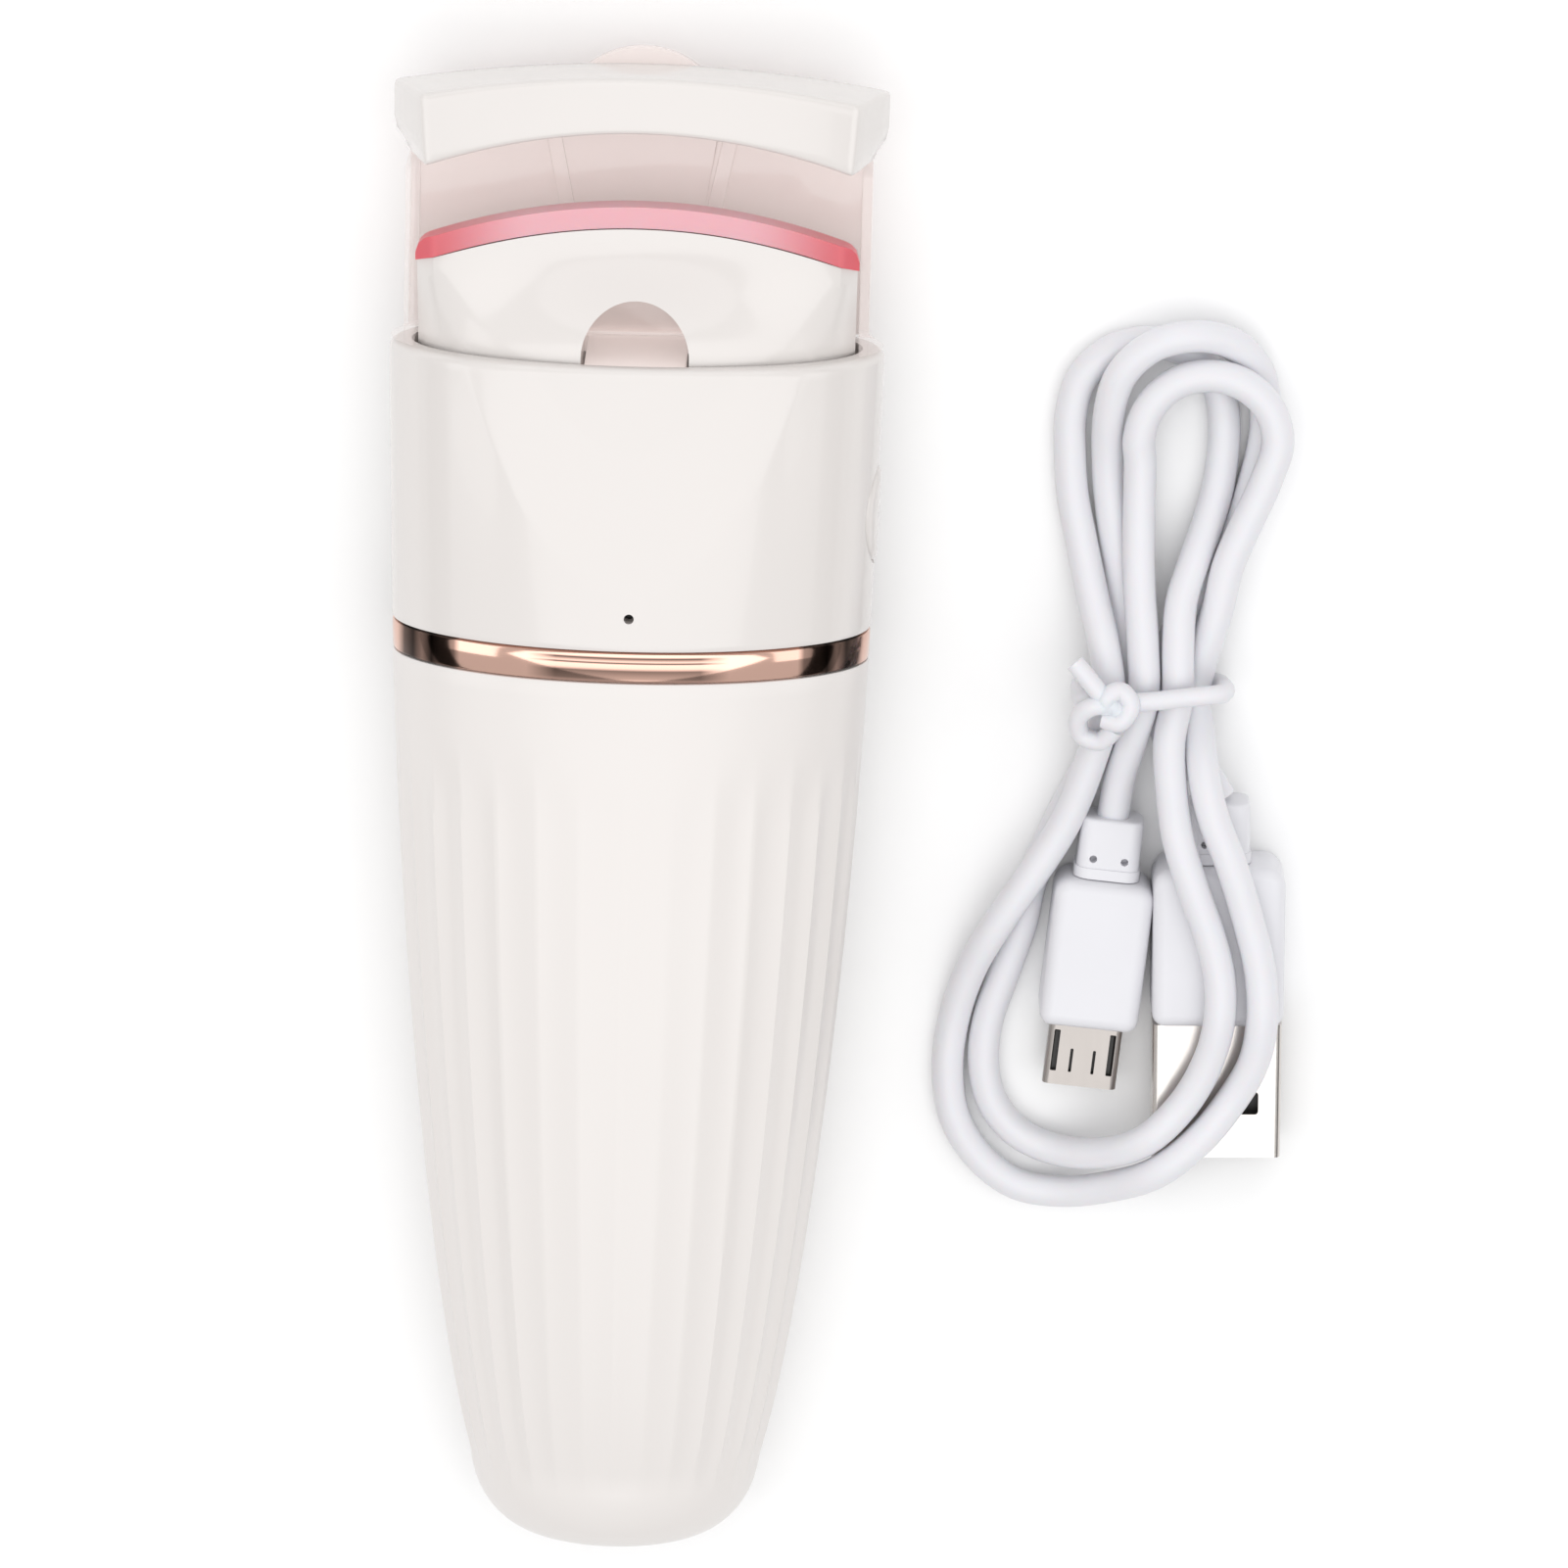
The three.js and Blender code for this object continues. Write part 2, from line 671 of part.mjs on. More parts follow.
function mainBoard() {
  const half = boardHalfWidth;
  let board = box(-half, half, boardStation, boardStation + boardLength, boardZ, boardZ + boardThickness);
  for (const side of [-1, 1]) {
    const [x, y] = [side * postOffset, boardStation + postInset];
    board = board.subtract(post(x, y, screwRadius + fit, boardZ - 1, boardZ + boardThickness + 1, 12));
  }
  return board;
}

function boardScrew(side) {
  const top = boardZ + boardThickness + seat;
  const [x, y] = [side * postOffset, boardStation + postInset];
  return join(
    post(x, y, screwRadius, trayTop + fit, top + screwHead / 2, 12),
    post(x, y, 2 * screwRadius, top, top + screwHead, 12),
  );
}

function indicatorLed() {
  const base = boardZ + boardThickness + seat;
  const half = ledSize / 2;
  return box(-half, half, pinholeStation - half, pinholeStation + half, base, base + ledHeight);
}

function lightPipe() {
  const base = boardZ + boardThickness + seat + ledHeight + seat;
  const top = centreZ(pinholeStation) + halfDepth(pinholeStation) - shellWall - fit;
  return post(0, pinholeStation, pipeRadius, base, top);
}

function tactSwitch() {
  const [x1, z] = [switchFace, centreZ(buttonStation)];
  const half = switchSize / 2;
  const [y0, y1] = [buttonStation - half, buttonStation + half];
  const body = box(x1 - switchThickness, x1, y0, y1, z - half, z + half);
  const depth = switchThickness - 1.2;
  const bore = rod(0, 0, switchBore, -depth, depth).rotate([0, 0, 90]);
  return body.subtract(bore.translate([x1, buttonStation, z]));
}

function switchPlunger() {
  const outer = buttonInner - fit;
  const button = rod(0, 0, plungerRadius, 0, plungerLength, 16).rotate([0, 0, -90]);
  return button.translate([outer - plungerLength, buttonStation, centreZ(buttonStation)]);
}

function powerButton() {
  const skin = turned([
    [buttonStation - 8, null],
    ...spaced(buttonStation - 8, buttonStation + 8, 6, -buttonProud),
    [buttonStation + 8, null],
  ], 96);
  return skin.intersect(buttonPrism(0, buttonInner, rimHalfWidth + 2));
}

function socketShell() {
  const width = socketWidth - 2 * socketWall;
  const height = socketHeight - 2 * socketWall;
  const outer = prism(roundedRectangle(socketWidth, socketHeight, 0.7), socketDepth, 4);
  const inner = prism(roundedRectangle(width, height, 0.5), socketDepth, 4);
  outer.rotateX(Math.PI / 2);
  inner.rotateX(Math.PI / 2);
  outer.translate(0, socketSink + socketDepth, centreZ(0));
  inner.translate(0, socketSink + socketDepth - 2 * socketWall, centreZ(0));
  return solid(outer).subtract(solid(inner));
}

function socketTongue() {
  const [half, z] = [tongueHalfThickness, centreZ(0) + tongueRise];
  return box(-tongueHalfWidth, tongueHalfWidth, 3 * socketSink, socketDepth - fit, z - half, z + half);
}

function socketBoard() {
  const [half, start] = [socketBoardHalfWidth, footFloor + 0.7];
  const top = centreZ(0) - socketHeight / 2 - seat;
  return box(-half, half, start, start + socketBoardLength, top - socketBoardThickness, top);
}

// ---------------------------------------------------------------- charging lead
const cordRadius = 1.5;
const cordSteps = 80;
const tieStation = 11.2;
const tieLift = 1.9;
const tieSpan = 7;
const tieRadius = 0.9;
const tieHalfWidth = 6.6;
const tieHalfHeight = 4;
const tieSquareness = 0.35;
const tieCentre = [47.75, 4.9];
const plugShoulder = 3.2;

// The cord's centreline on the table, in the frame of the whole object: from the small plug through
// the three upper loops and the two lower ones to the large plug.
const route = [
  [44.6, -1.2, 3.5], [45.1, 3, 3.8], [46.1, 7.2, 4.1], [46.9, 11.2, 4.25], [46.7, 16, 4.5],
  [46.2, 21.5, 4.3], [46, 27, 3.6], [45.9, 32.5, 3.6], [45.7, 35.1, 4], [46.7, 38.2, 4.4],
  [49, 40.4, 4.65], [52, 41.1, 4.75], [55.1, 40.3, 4.8], [57.4, 38.1, 4.7], [58.3, 35, 4.65],
  [57.3, 31.2, 4.65], [55.6, 27, 4.65], [54.2, 23.2, 4.55], [53.4, 19, 3.95], [52.3, 14.6, 2.4],
  [51.7, 11.1, 1.65], [52.2, 7.5, 3.9], [52.7, 4, 7.4], [53.6, 0.6, 9], [55.3, -3.4, 9.9],
  [57, -8.4, 9.8], [58.4, -13.6, 9.8], [58.8, -18.2, 9.9], [58.3, -22.6, 9], [56.4, -26.8, 8.1],
  [53.6, -30.6, 8.2], [49.8, -34, 7.9], [45.6, -36.6, 4.6], [41.2, -38, 2.2], [37, -37.6, 1.55],
  [33.4, -35, 1.55], [31, -31.2, 1.55], [30.2, -26.6, 1.55], [30.6, -21.6, 1.6], [31.9, -16.6, 2.6],
  [34, -12, 4], [37, -7, 4.7], [40.2, -1.4, 4.7], [42.3, 4.8, 4.7], [43.75, 11.2, 4.2], [43.2, 15.5, 4],
  [42, 20, 3.2], [40.9, 24.6, 2.2], [39.9, 29.2, 1.6], [39.5, 33.8, 1.55], [39.5, 36.4, 1.55],
  [40.4, 39.9, 1.55], [43, 42.5, 1.55], [46.5, 43.4, 1.55], [50, 42.5, 1.55], [52.6, 39.9, 1.55],
  [53.5, 36.4, 1.55], [53.3, 31, 1.7], [52.5, 27.4, 2.35], [51.2, 23.6, 3.65], [50.1, 20, 4.5],
  [49.9, 16, 4.7], [50, 11.3, 4.4], [49.4, 7.2, 5.4], [49.7, 3, 7.5], [50.4, -1.2, 9.4],
  [51.8, -5.5, 9.9], [53.6, -10.2, 9.8], [54.7, -14.2, 9.8], [54.9, -18.2, 9.9], [54.1, -22.6, 9],
  [52, -27.2, 8.2], [48.6, -30.9, 7.9], [44.6, -33.2, 5], [40.4, -33.8, 2.4], [36.8, -32.4, 1.55],
  [34.4, -29.4, 1.55], [33.5, -25.6, 1.55], [33.8, -21.5, 1.55], [35.2, -16.8, 1.55],
  [36.6, -12.2, 1.55], [37.5, -7.6, 1.55], [39.5, -2.6, 1.55], [41.8, 2.4, 1.55], [44, 7, 1.55],
  [45.3, 11.2, 1.55], [45.6, 15.5, 1.55], [44.7, 21, 1.55], [43.6, 27, 1.55], [43, 32, 1.6],
  [43, 37.6, 3.2], [44, 41.1, 4.25], [46.6, 43.7, 4.75], [50.1, 44.7, 4.7], [53.7, 43.9, 3.45],
  [56.3, 41.2, 2.05], [57.2, 37.6, 1.55], [57.2, 34.6, 1.55], [56.3, 30, 1.55], [54.7, 24.9, 1.55],
  [52.2, 21, 1.55], [50.1, 17, 1.55], [49, 14, 1.55], [48.5, 11.2, 1.55], [48.7, 9, 1.7],
  [49.5, 6.6, 1.65], [51.2, 4.6, 2.2], [53.2, 3.1, 3.5], [54.4, 1.25, 3.9],
];

// The strands climb over the part of the tie that passes under them.
function lifted([x, y, z]) {
  return new THREE.Vector3(x, y, z + tieLift * Math.exp(-(((y - tieStation) / tieSpan) ** 2)));
}

function tube(points, radius, steps, sides) {
  const section = new THREE.Shape();
  section.absarc(0, 0, radius, 0, 2 * Math.PI);
  const curve = new THREE.CatmullRomCurve3(points, false, 'centripetal');
  return solid(new THREE.ExtrudeGeometry(section, { steps, curveSegments: sides, extrudePath: curve }));
}

// A moulded grip seen from above, with wide shoulders where the strain relief joins it.
function plugGrip(width, thickness, from, to, shoulder, place) {
  const half = width / 2;
  const shape = new THREE.Shape();
  shape.moveTo(-half + 1, -to);
  shape.lineTo(half - 1, -to);
  shape.absarc(half - 1, -to + 1, 1, -Math.PI / 2, 0);
  shape.absarc(half - shoulder, -from - shoulder, shoulder, 0, Math.PI / 2);
  shape.absarc(-half + shoulder, -from - shoulder, shoulder, Math.PI / 2, Math.PI);
  shape.absarc(-half + 1, -to + 1, 1, Math.PI, 1.5 * Math.PI);
  const geometry = prism(shape, thickness, 5);
  geometry.translate(0, 0, -thickness / 2);
  return placed(solid(geometry), place);
}

// Plug parts are drawn round an axis along Y whose origin is the mouth of the strain relief.
function plugPart(width, thickness, from, to, corner, place) {
  const geometry = prism(roundedRectangle(width, thickness, corner), to - from, 4);
  geometry.rotateX(Math.PI / 2);
  geometry.translate(0, -from, 0);
  return placed(solid(geometry), place);
}

function placed(body, { x, y, z, turn }) {
  return body.rotate([0, 0, turn]).translate([x, y, z]);
}

function openShell(width, thickness, wall, from, to, place) {
  const outer = plugPart(width, thickness, from, to, 0.6, place);
  const inner = plugPart(width - 2 * wall, thickness - 2 * wall, from + 1, to + 1, 0.4, place);
  return outer.subtract(inner);
}

const smallPlug = { x: 44.6, y: -1.55, z: 3.5, turn: -5 };
const largePlug = { x: 54.4, y: 0.4, z: 3.9, turn: 1.5 };
const smallSizes = { relief: [5.8, 4.6, 5], grip: [9.2, 6.9, 14.3], shell: [6.85, 1.8, 6.2] };
const largeSizes = { relief: [5.6, 4.8, 5], grip: [12.2, 7.6, 15.4], shell: [12, 4.5, 13] };

function addPlug(group, name, place, sizes, wall) {
  const [reliefWidth, reliefThickness, reliefEnd] = sizes.relief;
  const [gripWidth, gripThickness, gripLength] = sizes.grip;
  const [shellWidth, shellThickness, shellReach] = sizes.shell;
  const gripEnd = reliefEnd + gripLength;
  const shellEnd = gripEnd + shellReach;
  const bladeWidth = shellWidth - 2 * wall - 2 * fit;
  const bladeFrom = gripEnd + 1 + 2 * seat;
  const relief = plugPart(reliefWidth, reliefThickness, 0, reliefEnd, 1.2, place);
  const grip = plugGrip(gripWidth, gripThickness, reliefEnd + seat, gripEnd, plugShoulder, place);
  const shell = openShell(shellWidth, shellThickness, wall, gripEnd + seat, shellEnd, place);
  const blade = plugPart(bladeWidth, shellThickness * 0.3, bladeFrom, shellEnd - 0.6, 0.1, place);
  add(group, `${name}_relief`, relief, leadWhite);
  add(group, `${name}_grip`, grip, leadWhite);
  add(group, `${name}_shell`, shell, steel);
  add(group, `${name}_insert`, blade, blackPlastic);
}

function leadTie() {
  const ring = new THREE.TorusGeometry(1, 0.5, 8, 40);
  const position = ring.attributes.position;
  for (let i = 0; i < position.count; i += 1) {
    const [x, z, y] = [position.getX(i), position.getY(i), position.getZ(i)];
    const angle = Math.atan2(z, x);
    const out = (Math.hypot(x, z) - 1) * 2 * tieRadius;
    const [c, s] = [Math.cos(angle), Math.sin(angle)];
    const cx = tieHalfWidth * Math.sign(c) * Math.abs(c) ** tieSquareness + out * c;
    const cz = tieHalfHeight * Math.sign(s) * Math.abs(s) ** tieSquareness + out * s;
    position.setXYZ(i, tieCentre[0] + cx, tieStation + y * 2 * tieRadius, tieCentre[1] + cz);
  }
  const at = (x, y, z) => new THREE.Vector3(x, y, z);
  const knot = new THREE.SphereGeometry(1.6, 12, 8);
  knot.translate(44.4, 11, 9.7);
  const tail = [at(44.4, 11, 9.6), at(42.6, 12.6, 9.6), at(40.2, 15.2, 9)];
  const curl = [
    at(44.4, 11, 9.6), at(42.2, 11.4, 9.8), at(40.9, 10, 8.9), at(41.3, 8, 8), at(43, 7.4, 8.2),
    at(44.4, 8.9, 9), at(44.6, 10.4, 9.2),
  ];
  return join(solid(ring), solid(knot), tube(tail, tieRadius, 6, 4), tube(curl, tieRadius, 18, 4));
}

// ---------------------------------------------------------------- assembly
const curler = new THREE.Group();
curler.position.y = -overallLength / 2;

function add(group, name, body, material) {
  const mesh = new THREE.Mesh(toGeometry(body), material);
  mesh.name = name;
  group.add(mesh);
}

add(curler, 'handle_sleeve', handleSleeve(), white);
add(curler, 'trim_ring', trimRing(), roseGold);
add(curler, 'upper_shell', upperShell(), white);
add(curler, 'hood_frame', hoodFrame(), clearTint);
add(curler, 'upper_jaw', upperJaw(), white);
add(curler, 'guide_plate', guidePlate(), greyPlastic);
add(curler, 'tray', tray(), greyPlastic);
add(curler, 'battery_cell', batteryCell(), foilGrey);
add(curler, 'main_board', mainBoard(), boardGreen);
add(curler, 'indicator_led', indicatorLed(), finish(0xfff4d8, 0.3));
add(curler, 'light_pipe', lightPipe(), blackPlastic);
add(curler, 'tact_switch', tactSwitch(), blackPlastic);
add(curler, 'switch_plunger', switchPlunger(), greyPlastic);
add(curler, 'power_button', powerButton(), white);
add(curler, 'socket_board', socketBoard(), boardGreen);
add(curler, 'charging_socket', socketShell(), steel);
add(curler, 'socket_tongue', socketTongue(), blackPlastic);
add(curler, 'carriage', carriage(), white);
add(curler, 'heater_plate', heaterPlate(), steel);
add(curler, 'lash_pad', lashPad(), pinkSilicone);
for (const [name, side] of [['left', -1], ['right', 1]]) {
  add(curler, `return_spring_${name}`, returnSpring(side), steel);
  add(curler, `spring_cup_${name}`, springCup(side), greyPlastic);
  add(curler, `foot_screw_${name}`, footScrew(side), steel);
  add(curler, `board_screw_${name}`, boardScrew(side), steel);
}

const lead = new THREE.Group();
add(lead, 'lead_cord', tube(route.map(lifted), cordRadius, cordSteps, 4), leadWhite);
add(lead, 'lead_tie', leadTie(), leadWhite);
addPlug(lead, 'micro', smallPlug, smallSizes, 0.3);
addPlug(lead, 'usb', largePlug, largeSizes, 0.35);

const scene = new THREE.Group();
scene.add(curler, lead);

export default scene;
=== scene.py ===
"""Looks of a heated eyelash curler and its charging lead, built round the packed part. Metres."""

import math

import bmesh
import bpy
from bpy.props import FloatProperty, FloatVectorProperty, IntProperty, PointerProperty
from mathutils import Matrix, Vector


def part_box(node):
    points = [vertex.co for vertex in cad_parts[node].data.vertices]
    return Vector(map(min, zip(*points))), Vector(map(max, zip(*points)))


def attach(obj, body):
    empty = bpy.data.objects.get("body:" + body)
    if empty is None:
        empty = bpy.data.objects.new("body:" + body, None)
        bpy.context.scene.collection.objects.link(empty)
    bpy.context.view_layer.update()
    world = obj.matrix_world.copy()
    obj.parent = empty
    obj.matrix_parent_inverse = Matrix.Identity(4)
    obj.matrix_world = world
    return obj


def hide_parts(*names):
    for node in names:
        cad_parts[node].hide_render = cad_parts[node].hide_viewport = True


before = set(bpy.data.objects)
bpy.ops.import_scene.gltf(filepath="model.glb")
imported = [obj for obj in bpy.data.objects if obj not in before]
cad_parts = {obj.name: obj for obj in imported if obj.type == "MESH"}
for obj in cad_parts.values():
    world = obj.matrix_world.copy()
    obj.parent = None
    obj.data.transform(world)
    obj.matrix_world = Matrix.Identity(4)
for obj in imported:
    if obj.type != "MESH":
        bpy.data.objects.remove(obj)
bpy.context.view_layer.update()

bl_info = {
    "name": "Heated eyelash curler",
    "version": (1, 0, 0),
    "blender": (4, 5, 0),
    "location": "View3D > Sidebar > Curler",
    "description": "Builds the shells, jaws, hood, charging lead and stage of an eyelash curler",
    "category": "Object",
}

MM = 0.001
MERGE_GAP = 1e-6


# ---------------------------------------------------------------- sizes and colours
def length(name, description, default):
    return FloatProperty(
        name=name, description=description, default=default, unit="LENGTH", min=0, precision=5
    )


def colour(name, description, default):
    return FloatVectorProperty(
        name=name, description=description, default=default, subtype="COLOR", size=3, min=0, max=1
    )


class CurlerBodySizes(bpy.types.PropertyGroup):
    """Sizes of the handle, the ring and the upper shell."""

    foot_half_width: length("Foot half width", "Half width just above the rounded foot", 13.6 * MM)
    foot_flat: length("Foot flat", "Half width of the flat at the very foot", 5.5 * MM)
    foot_station: length("Foot height", "Where the foot's curve ends", 8 * MM)
    handle_half_width: length("Handle half width", "Half width at the top of the handle", 21.6 * MM)
    rim_half_width: length("Rim half width", "Half width at the rim of the shell", 22.25 * MM)
    rim_half_depth: length("Rim half depth", "Half depth at the rim of the shell", 12.1 * MM)
    back_flat: length("Back flat", "How much of the back is flattened away", 0.4 * MM)
    shell_wall: length("Shell wall", "Thickness of the upper shell", 2 * MM)
    handle_wall: length("Handle wall", "Thickness of the handle sleeve", 1.8 * MM)
    flute_count: IntProperty(
        name="Flutes", description="Hollow flutes round the handle", default=32, min=3
    )
    flute_depth: length("Flute depth", "Depth of a flute in its middle", 0.3 * MM)
    dish_half_width: length("Dish half width", "Half width of the thumb dish at the rim", 15.4 * MM)
    dish_length: length("Dish length", "How far the thumb dish reaches below the rim", 20.7 * MM)
    dish_depth: length("Dish depth", "Depth of the thumb dish", 0.8 * MM)
    rim_round: length("Rim rounding", "Rounding of the shell's rim", 0.8 * MM)
    pinhole_radius: length("Pinhole radius", "Radius of the indicator's pinhole", 0.45 * MM)


class CurlerHeadSizes(bpy.types.PropertyGroup):
    """Sizes of the jaws, the sliding carriage and the clear hood."""

    jaw_arch: length("Jaw arch", "How far the jaws' ends drop below their middle", 2.9 * MM)
    plate_centre: length("Plate centre depth", "Front in the middle, from the mid plane", 4.5 * MM)
    plate_end: length("Plate end depth", "Front at the ends, from the mid plane", 8 * MM)
    end_facet: length("End facet", "Width of the slanted facet at each end", 1.5 * MM)
    pad_height: length("Pad height", "Height of the silicone pad", 2 * MM)
    pad_depth: length("Pad depth", "Depth of the silicone pad", 3.2 * MM)
    carriage_sink: length("Carriage sink", "Reach of the carriage's plate below the rim", 8.6 * MM)
    arch_radius: length("Arch radius", "Radius of the thumb arch", 4.8 * MM)
    arch_rise: length("Arch rise", "Top of the thumb arch above the rim", 5.3 * MM)


class CurlerLeadSizes(bpy.types.PropertyGroup):
    """Sizes of the charging lead."""

    cord_diameter: length("Cord diameter", "Outside diameter of the cord", 3 * MM)
    tie_diameter: length("Tie diameter", "Thickness of the tie round the hank", 1.8 * MM)


class CurlerColours(bpy.types.PropertyGroup):
    """Colours of the finishes."""

    shell: colour("Shell", "Glossy warm white of the shells", (0.735, 0.70, 0.678))
    handle: colour("Handle", "Satin warm white of the handle", (0.765, 0.73, 0.708))
    rose_gold: colour("Rose gold", "Polished ring", (0.90, 0.58, 0.47))
    hood: colour("Hood", "Tint of the clear hood", (0.86, 0.775, 0.75))
    pad_middle: colour("Pad middle", "Silicone in the middle", (0.76, 0.41, 0.455))
    pad_end: colour("Pad ends", "Silicone at the ends", (0.65, 0.125, 0.15))
    lead: colour("Lead", "Cool white of the lead", (0.76, 0.757, 0.79))
    steel: colour("Steel", "Large plug shell and screws", (0.72, 0.68, 0.65))
    tinned: colour("Tinned steel", "Small plug shell", (0.42, 0.39, 0.37))


class CurlerStage(bpy.types.PropertyGroup):
    """Camera and light."""

    distance: length("Camera distance", "From the camera to the point it looks at", 0.7)
    elevation: FloatProperty(
        name="Lean",
        description="How far the camera leans toward the jaws",
        default=math.radians(15.5),
        subtype="ANGLE",
    )
    roll: FloatProperty(
        name="Roll", description="Roll of the camera", default=math.radians(1.5), subtype="ANGLE"
    )
    lens: FloatProperty(
        name="Lens", description="Focal length", default=0.17629, unit="CAMERA", min=0.01
    )
    daylight: FloatProperty(
        name="Fill", description="Strength of the even light", default=0.61, min=0
    )
    softbox: FloatProperty(
        name="Softbox", description="Power of the overhead light", default=7.0, min=0
    )


GROUPS = {
    "curler_body": CurlerBodySizes,
    "curler_head": CurlerHeadSizes,
    "curler_lead": CurlerLeadSizes,
    "curler_colours": CurlerColours,
    "curler_stage": CurlerStage,
}


def sizes(name):
    return getattr(bpy.context.scene, name)


# ---------------------------------------------------------------- places that come from the part
def node_low(name):
    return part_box(name)[0]


def node_high(name):
    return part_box(name)[1]


FOOT_Y = node_low("handle_sleeve").y
RIM_Y = node_high("upper_shell").y
HANDLE_LENGTH = node_high("handle_sleeve").y - FOOT_Y
SHELL_BOTTOM = node_low("upper_shell").y - FOOT_Y
RIM = RIM_Y - FOOT_Y
CARRIAGE_TOP = node_high("carriage").y - FOOT_Y
CARRIAGE_HALF = node_high("carriage").x
GAP = 0.3 * MM


def smooth(low, high, value):
    t = min(max((value - low) / (high - low), 0), 1)
    return t * t * (3 - 2 * t)


def mix(a, b, t):
    return a + (b - a) * t


def bezier(points, t):
    weights = ((1 - t) ** 3, 3 * t * (1 - t) ** 2, 3 * t * t * (1 - t), t**3)
    return tuple(sum(w * p[k] for w, p in zip(weights, points)) for k in range(2))


def foot_curve():
    """The rounded foot: half width and station of its four control points."""
    size = sizes("curler_body")
    foot = size.foot_half_width
    return [
        (size.foot_flat, 0),
        (foot - 4.4 * MM, 0),
        (foot - 0.7 * MM, 2.2 * MM),
        (foot, size.foot_station),
    ]


def outline():
    """Half width against station, as a list of close points."""
    size = sizes("curler_body")
    foot, wide = size.foot_half_width, size.handle_half_width
    first = foot_curve()
    second = [
        first[3],
        (foot + 3.8 * MM, 23 * MM),
        (wide - 1 * MM, 58 * MM),
        (wide, HANDLE_LENGTH),
    ]
    steps = 60
    points = [bezier(first, i / steps) for i in range(steps)]
    points += [bezier(second, i / steps) for i in range(steps + 1)]
    return points + [(size.rim_half_width, RIM)]


class Form:
    """The curler's outer form: half width, half depth and centre height at a station."""

    FOOT_RATIO, TOP_RATIO = 0.7, 0.565  # half depth over half width, at the foot and under the ring
    FLUTES_END = 6.1 * MM  # below the handle's top
    FLUTES_FADE = 8 * MM
    FLUTES_START = (6 * MM, 11 * MM)
    FRONT_FLUTES = 0.3  # how much of a flute is left in the middle of the front
    FRONT_SPREAD = (0.15, 0.75)  # sine of the angles between which a flute deepens
    DISH_EDGE = 1.6  # how steeply the dish falls from its edge

    def __init__(self):
        self.size = sizes("curler_body")
        self.points = outline()

    def half_width(self, station):
        points = self.points
        if station <= 0:
            return points[0][0]
        for low, high in zip(points, points[1:]):
            if high[1] >= station:
                return mix(low[0], high[0], (station - low[1]) / (high[1] - low[1]))
        return points[-1][0]

    def half_depth(self, station):
        ratio = mix(self.FOOT_RATIO, self.TOP_RATIO, min(max(station, 0) / HANDLE_LENGTH, 1))
        handle = self.half_width(station) * ratio
        return mix(handle, self.size.rim_half_depth, smooth(HANDLE_LENGTH, RIM, station))

    def centre_z(self, station):
        return self.half_depth(max(station, self.size.foot_station)) - self.size.back_flat

    def flute(self, station, angle):
        top = HANDLE_LENGTH - self.FLUTES_END
        fade = 1 - smooth(top - self.FLUTES_FADE, top, station)
        fade *= smooth(*self.FLUTES_START, station)
        if math.cos(angle) > 0:
            fade *= mix(self.FRONT_FLUTES, 1, smooth(*self.FRONT_SPREAD, abs(math.sin(angle))))
        return self.size.flute_depth * fade * abs(math.sin(self.size.flute_count * angle / 2))

    def dish(self, x, station):
        inside = (station - RIM) / self.size.dish_length + 1 - (x / self.size.dish_half_width) ** 2
        return self.size.dish_depth * min(max(inside, 0) * self.DISH_EDGE, 1)

    def point(self, station, depth, angle, carved=0):
        """A point below the skin, at an angle from the front; depth None is on the axis."""
        if depth is None:
            return Vector((0, FOOT_Y + station, max(self.centre_z(station), 0)))
        below = depth + carved
        x = (self.half_width(station) - below) * math.sin(angle)
        z = self.centre_z(station) + (self.half_depth(station) - below) * math.cos(angle)
        return Vector((x, FOOT_Y + station, max(z, depth, 0)))


# ---------------------------------------------------------------- modelling steps
def deselect():
    bpy.ops.object.select_all(action="DESELECT")


def only(piece):
    deselect()
    piece.select_set(True)
    bpy.context.view_layer.objects.active = piece


def edit(piece):
    only(piece)
    bpy.ops.object.mode_set(mode="EDIT")


def leave():
    bpy.ops.object.mode_set(mode="OBJECT")


def pick(piece, kind, test):
    """In edit mode, selects only the verts, edges or faces that pass the test."""
    bpy.ops.mesh.select_mode(type={"verts": "VERT", "edges": "EDGE", "faces": "FACE"}[kind])
    bpy.ops.mesh.select_all(action="DESELECT")
    shape = bmesh.from_edit_mesh(piece.data)
    for element in getattr(shape, kind):
        if test(element):
            element.select_set(True)
    bmesh.update_edit_mesh(piece.data)


def close_up(piece):
    """Merges doubled vertices and turns the faces outwards."""
    edit(piece)
    bpy.ops.mesh.select_all(action="SELECT")
    bpy.ops.mesh.remove_doubles(threshold=MERGE_GAP)
    bpy.ops.mesh.dissolve_degenerate(threshold=MERGE_GAP)
    bpy.ops.mesh.normals_make_consistent(inside=False)
    leave()


def smooth_shade(piece, degrees=30):
    only(piece)
    bpy.ops.object.shade_smooth_by_angle(angle=math.radians(degrees))


def settle(piece):
    """Puts the piece's place into its mesh."""
    only(piece)
    bpy.ops.object.transform_apply(location=True, rotation=True, scale=True)


def apply_modifier(piece, kind, **values):
    only(piece)
    modifier = piece.modifiers.new(kind.title(), kind)
    for key, value in values.items():
        setattr(modifier, key, value)
    bpy.ops.object.modifier_apply(modifier=modifier.name)


def combine(piece, other, operation="DIFFERENCE"):
    """Cuts another body out of the piece, or joins it on, and clears it away."""
    apply_modifier(piece, "BOOLEAN", object=other, operation=operation, solver="EXACT")
    data = other.data
    bpy.data.objects.remove(other)
    bpy.data.meshes.remove(data)


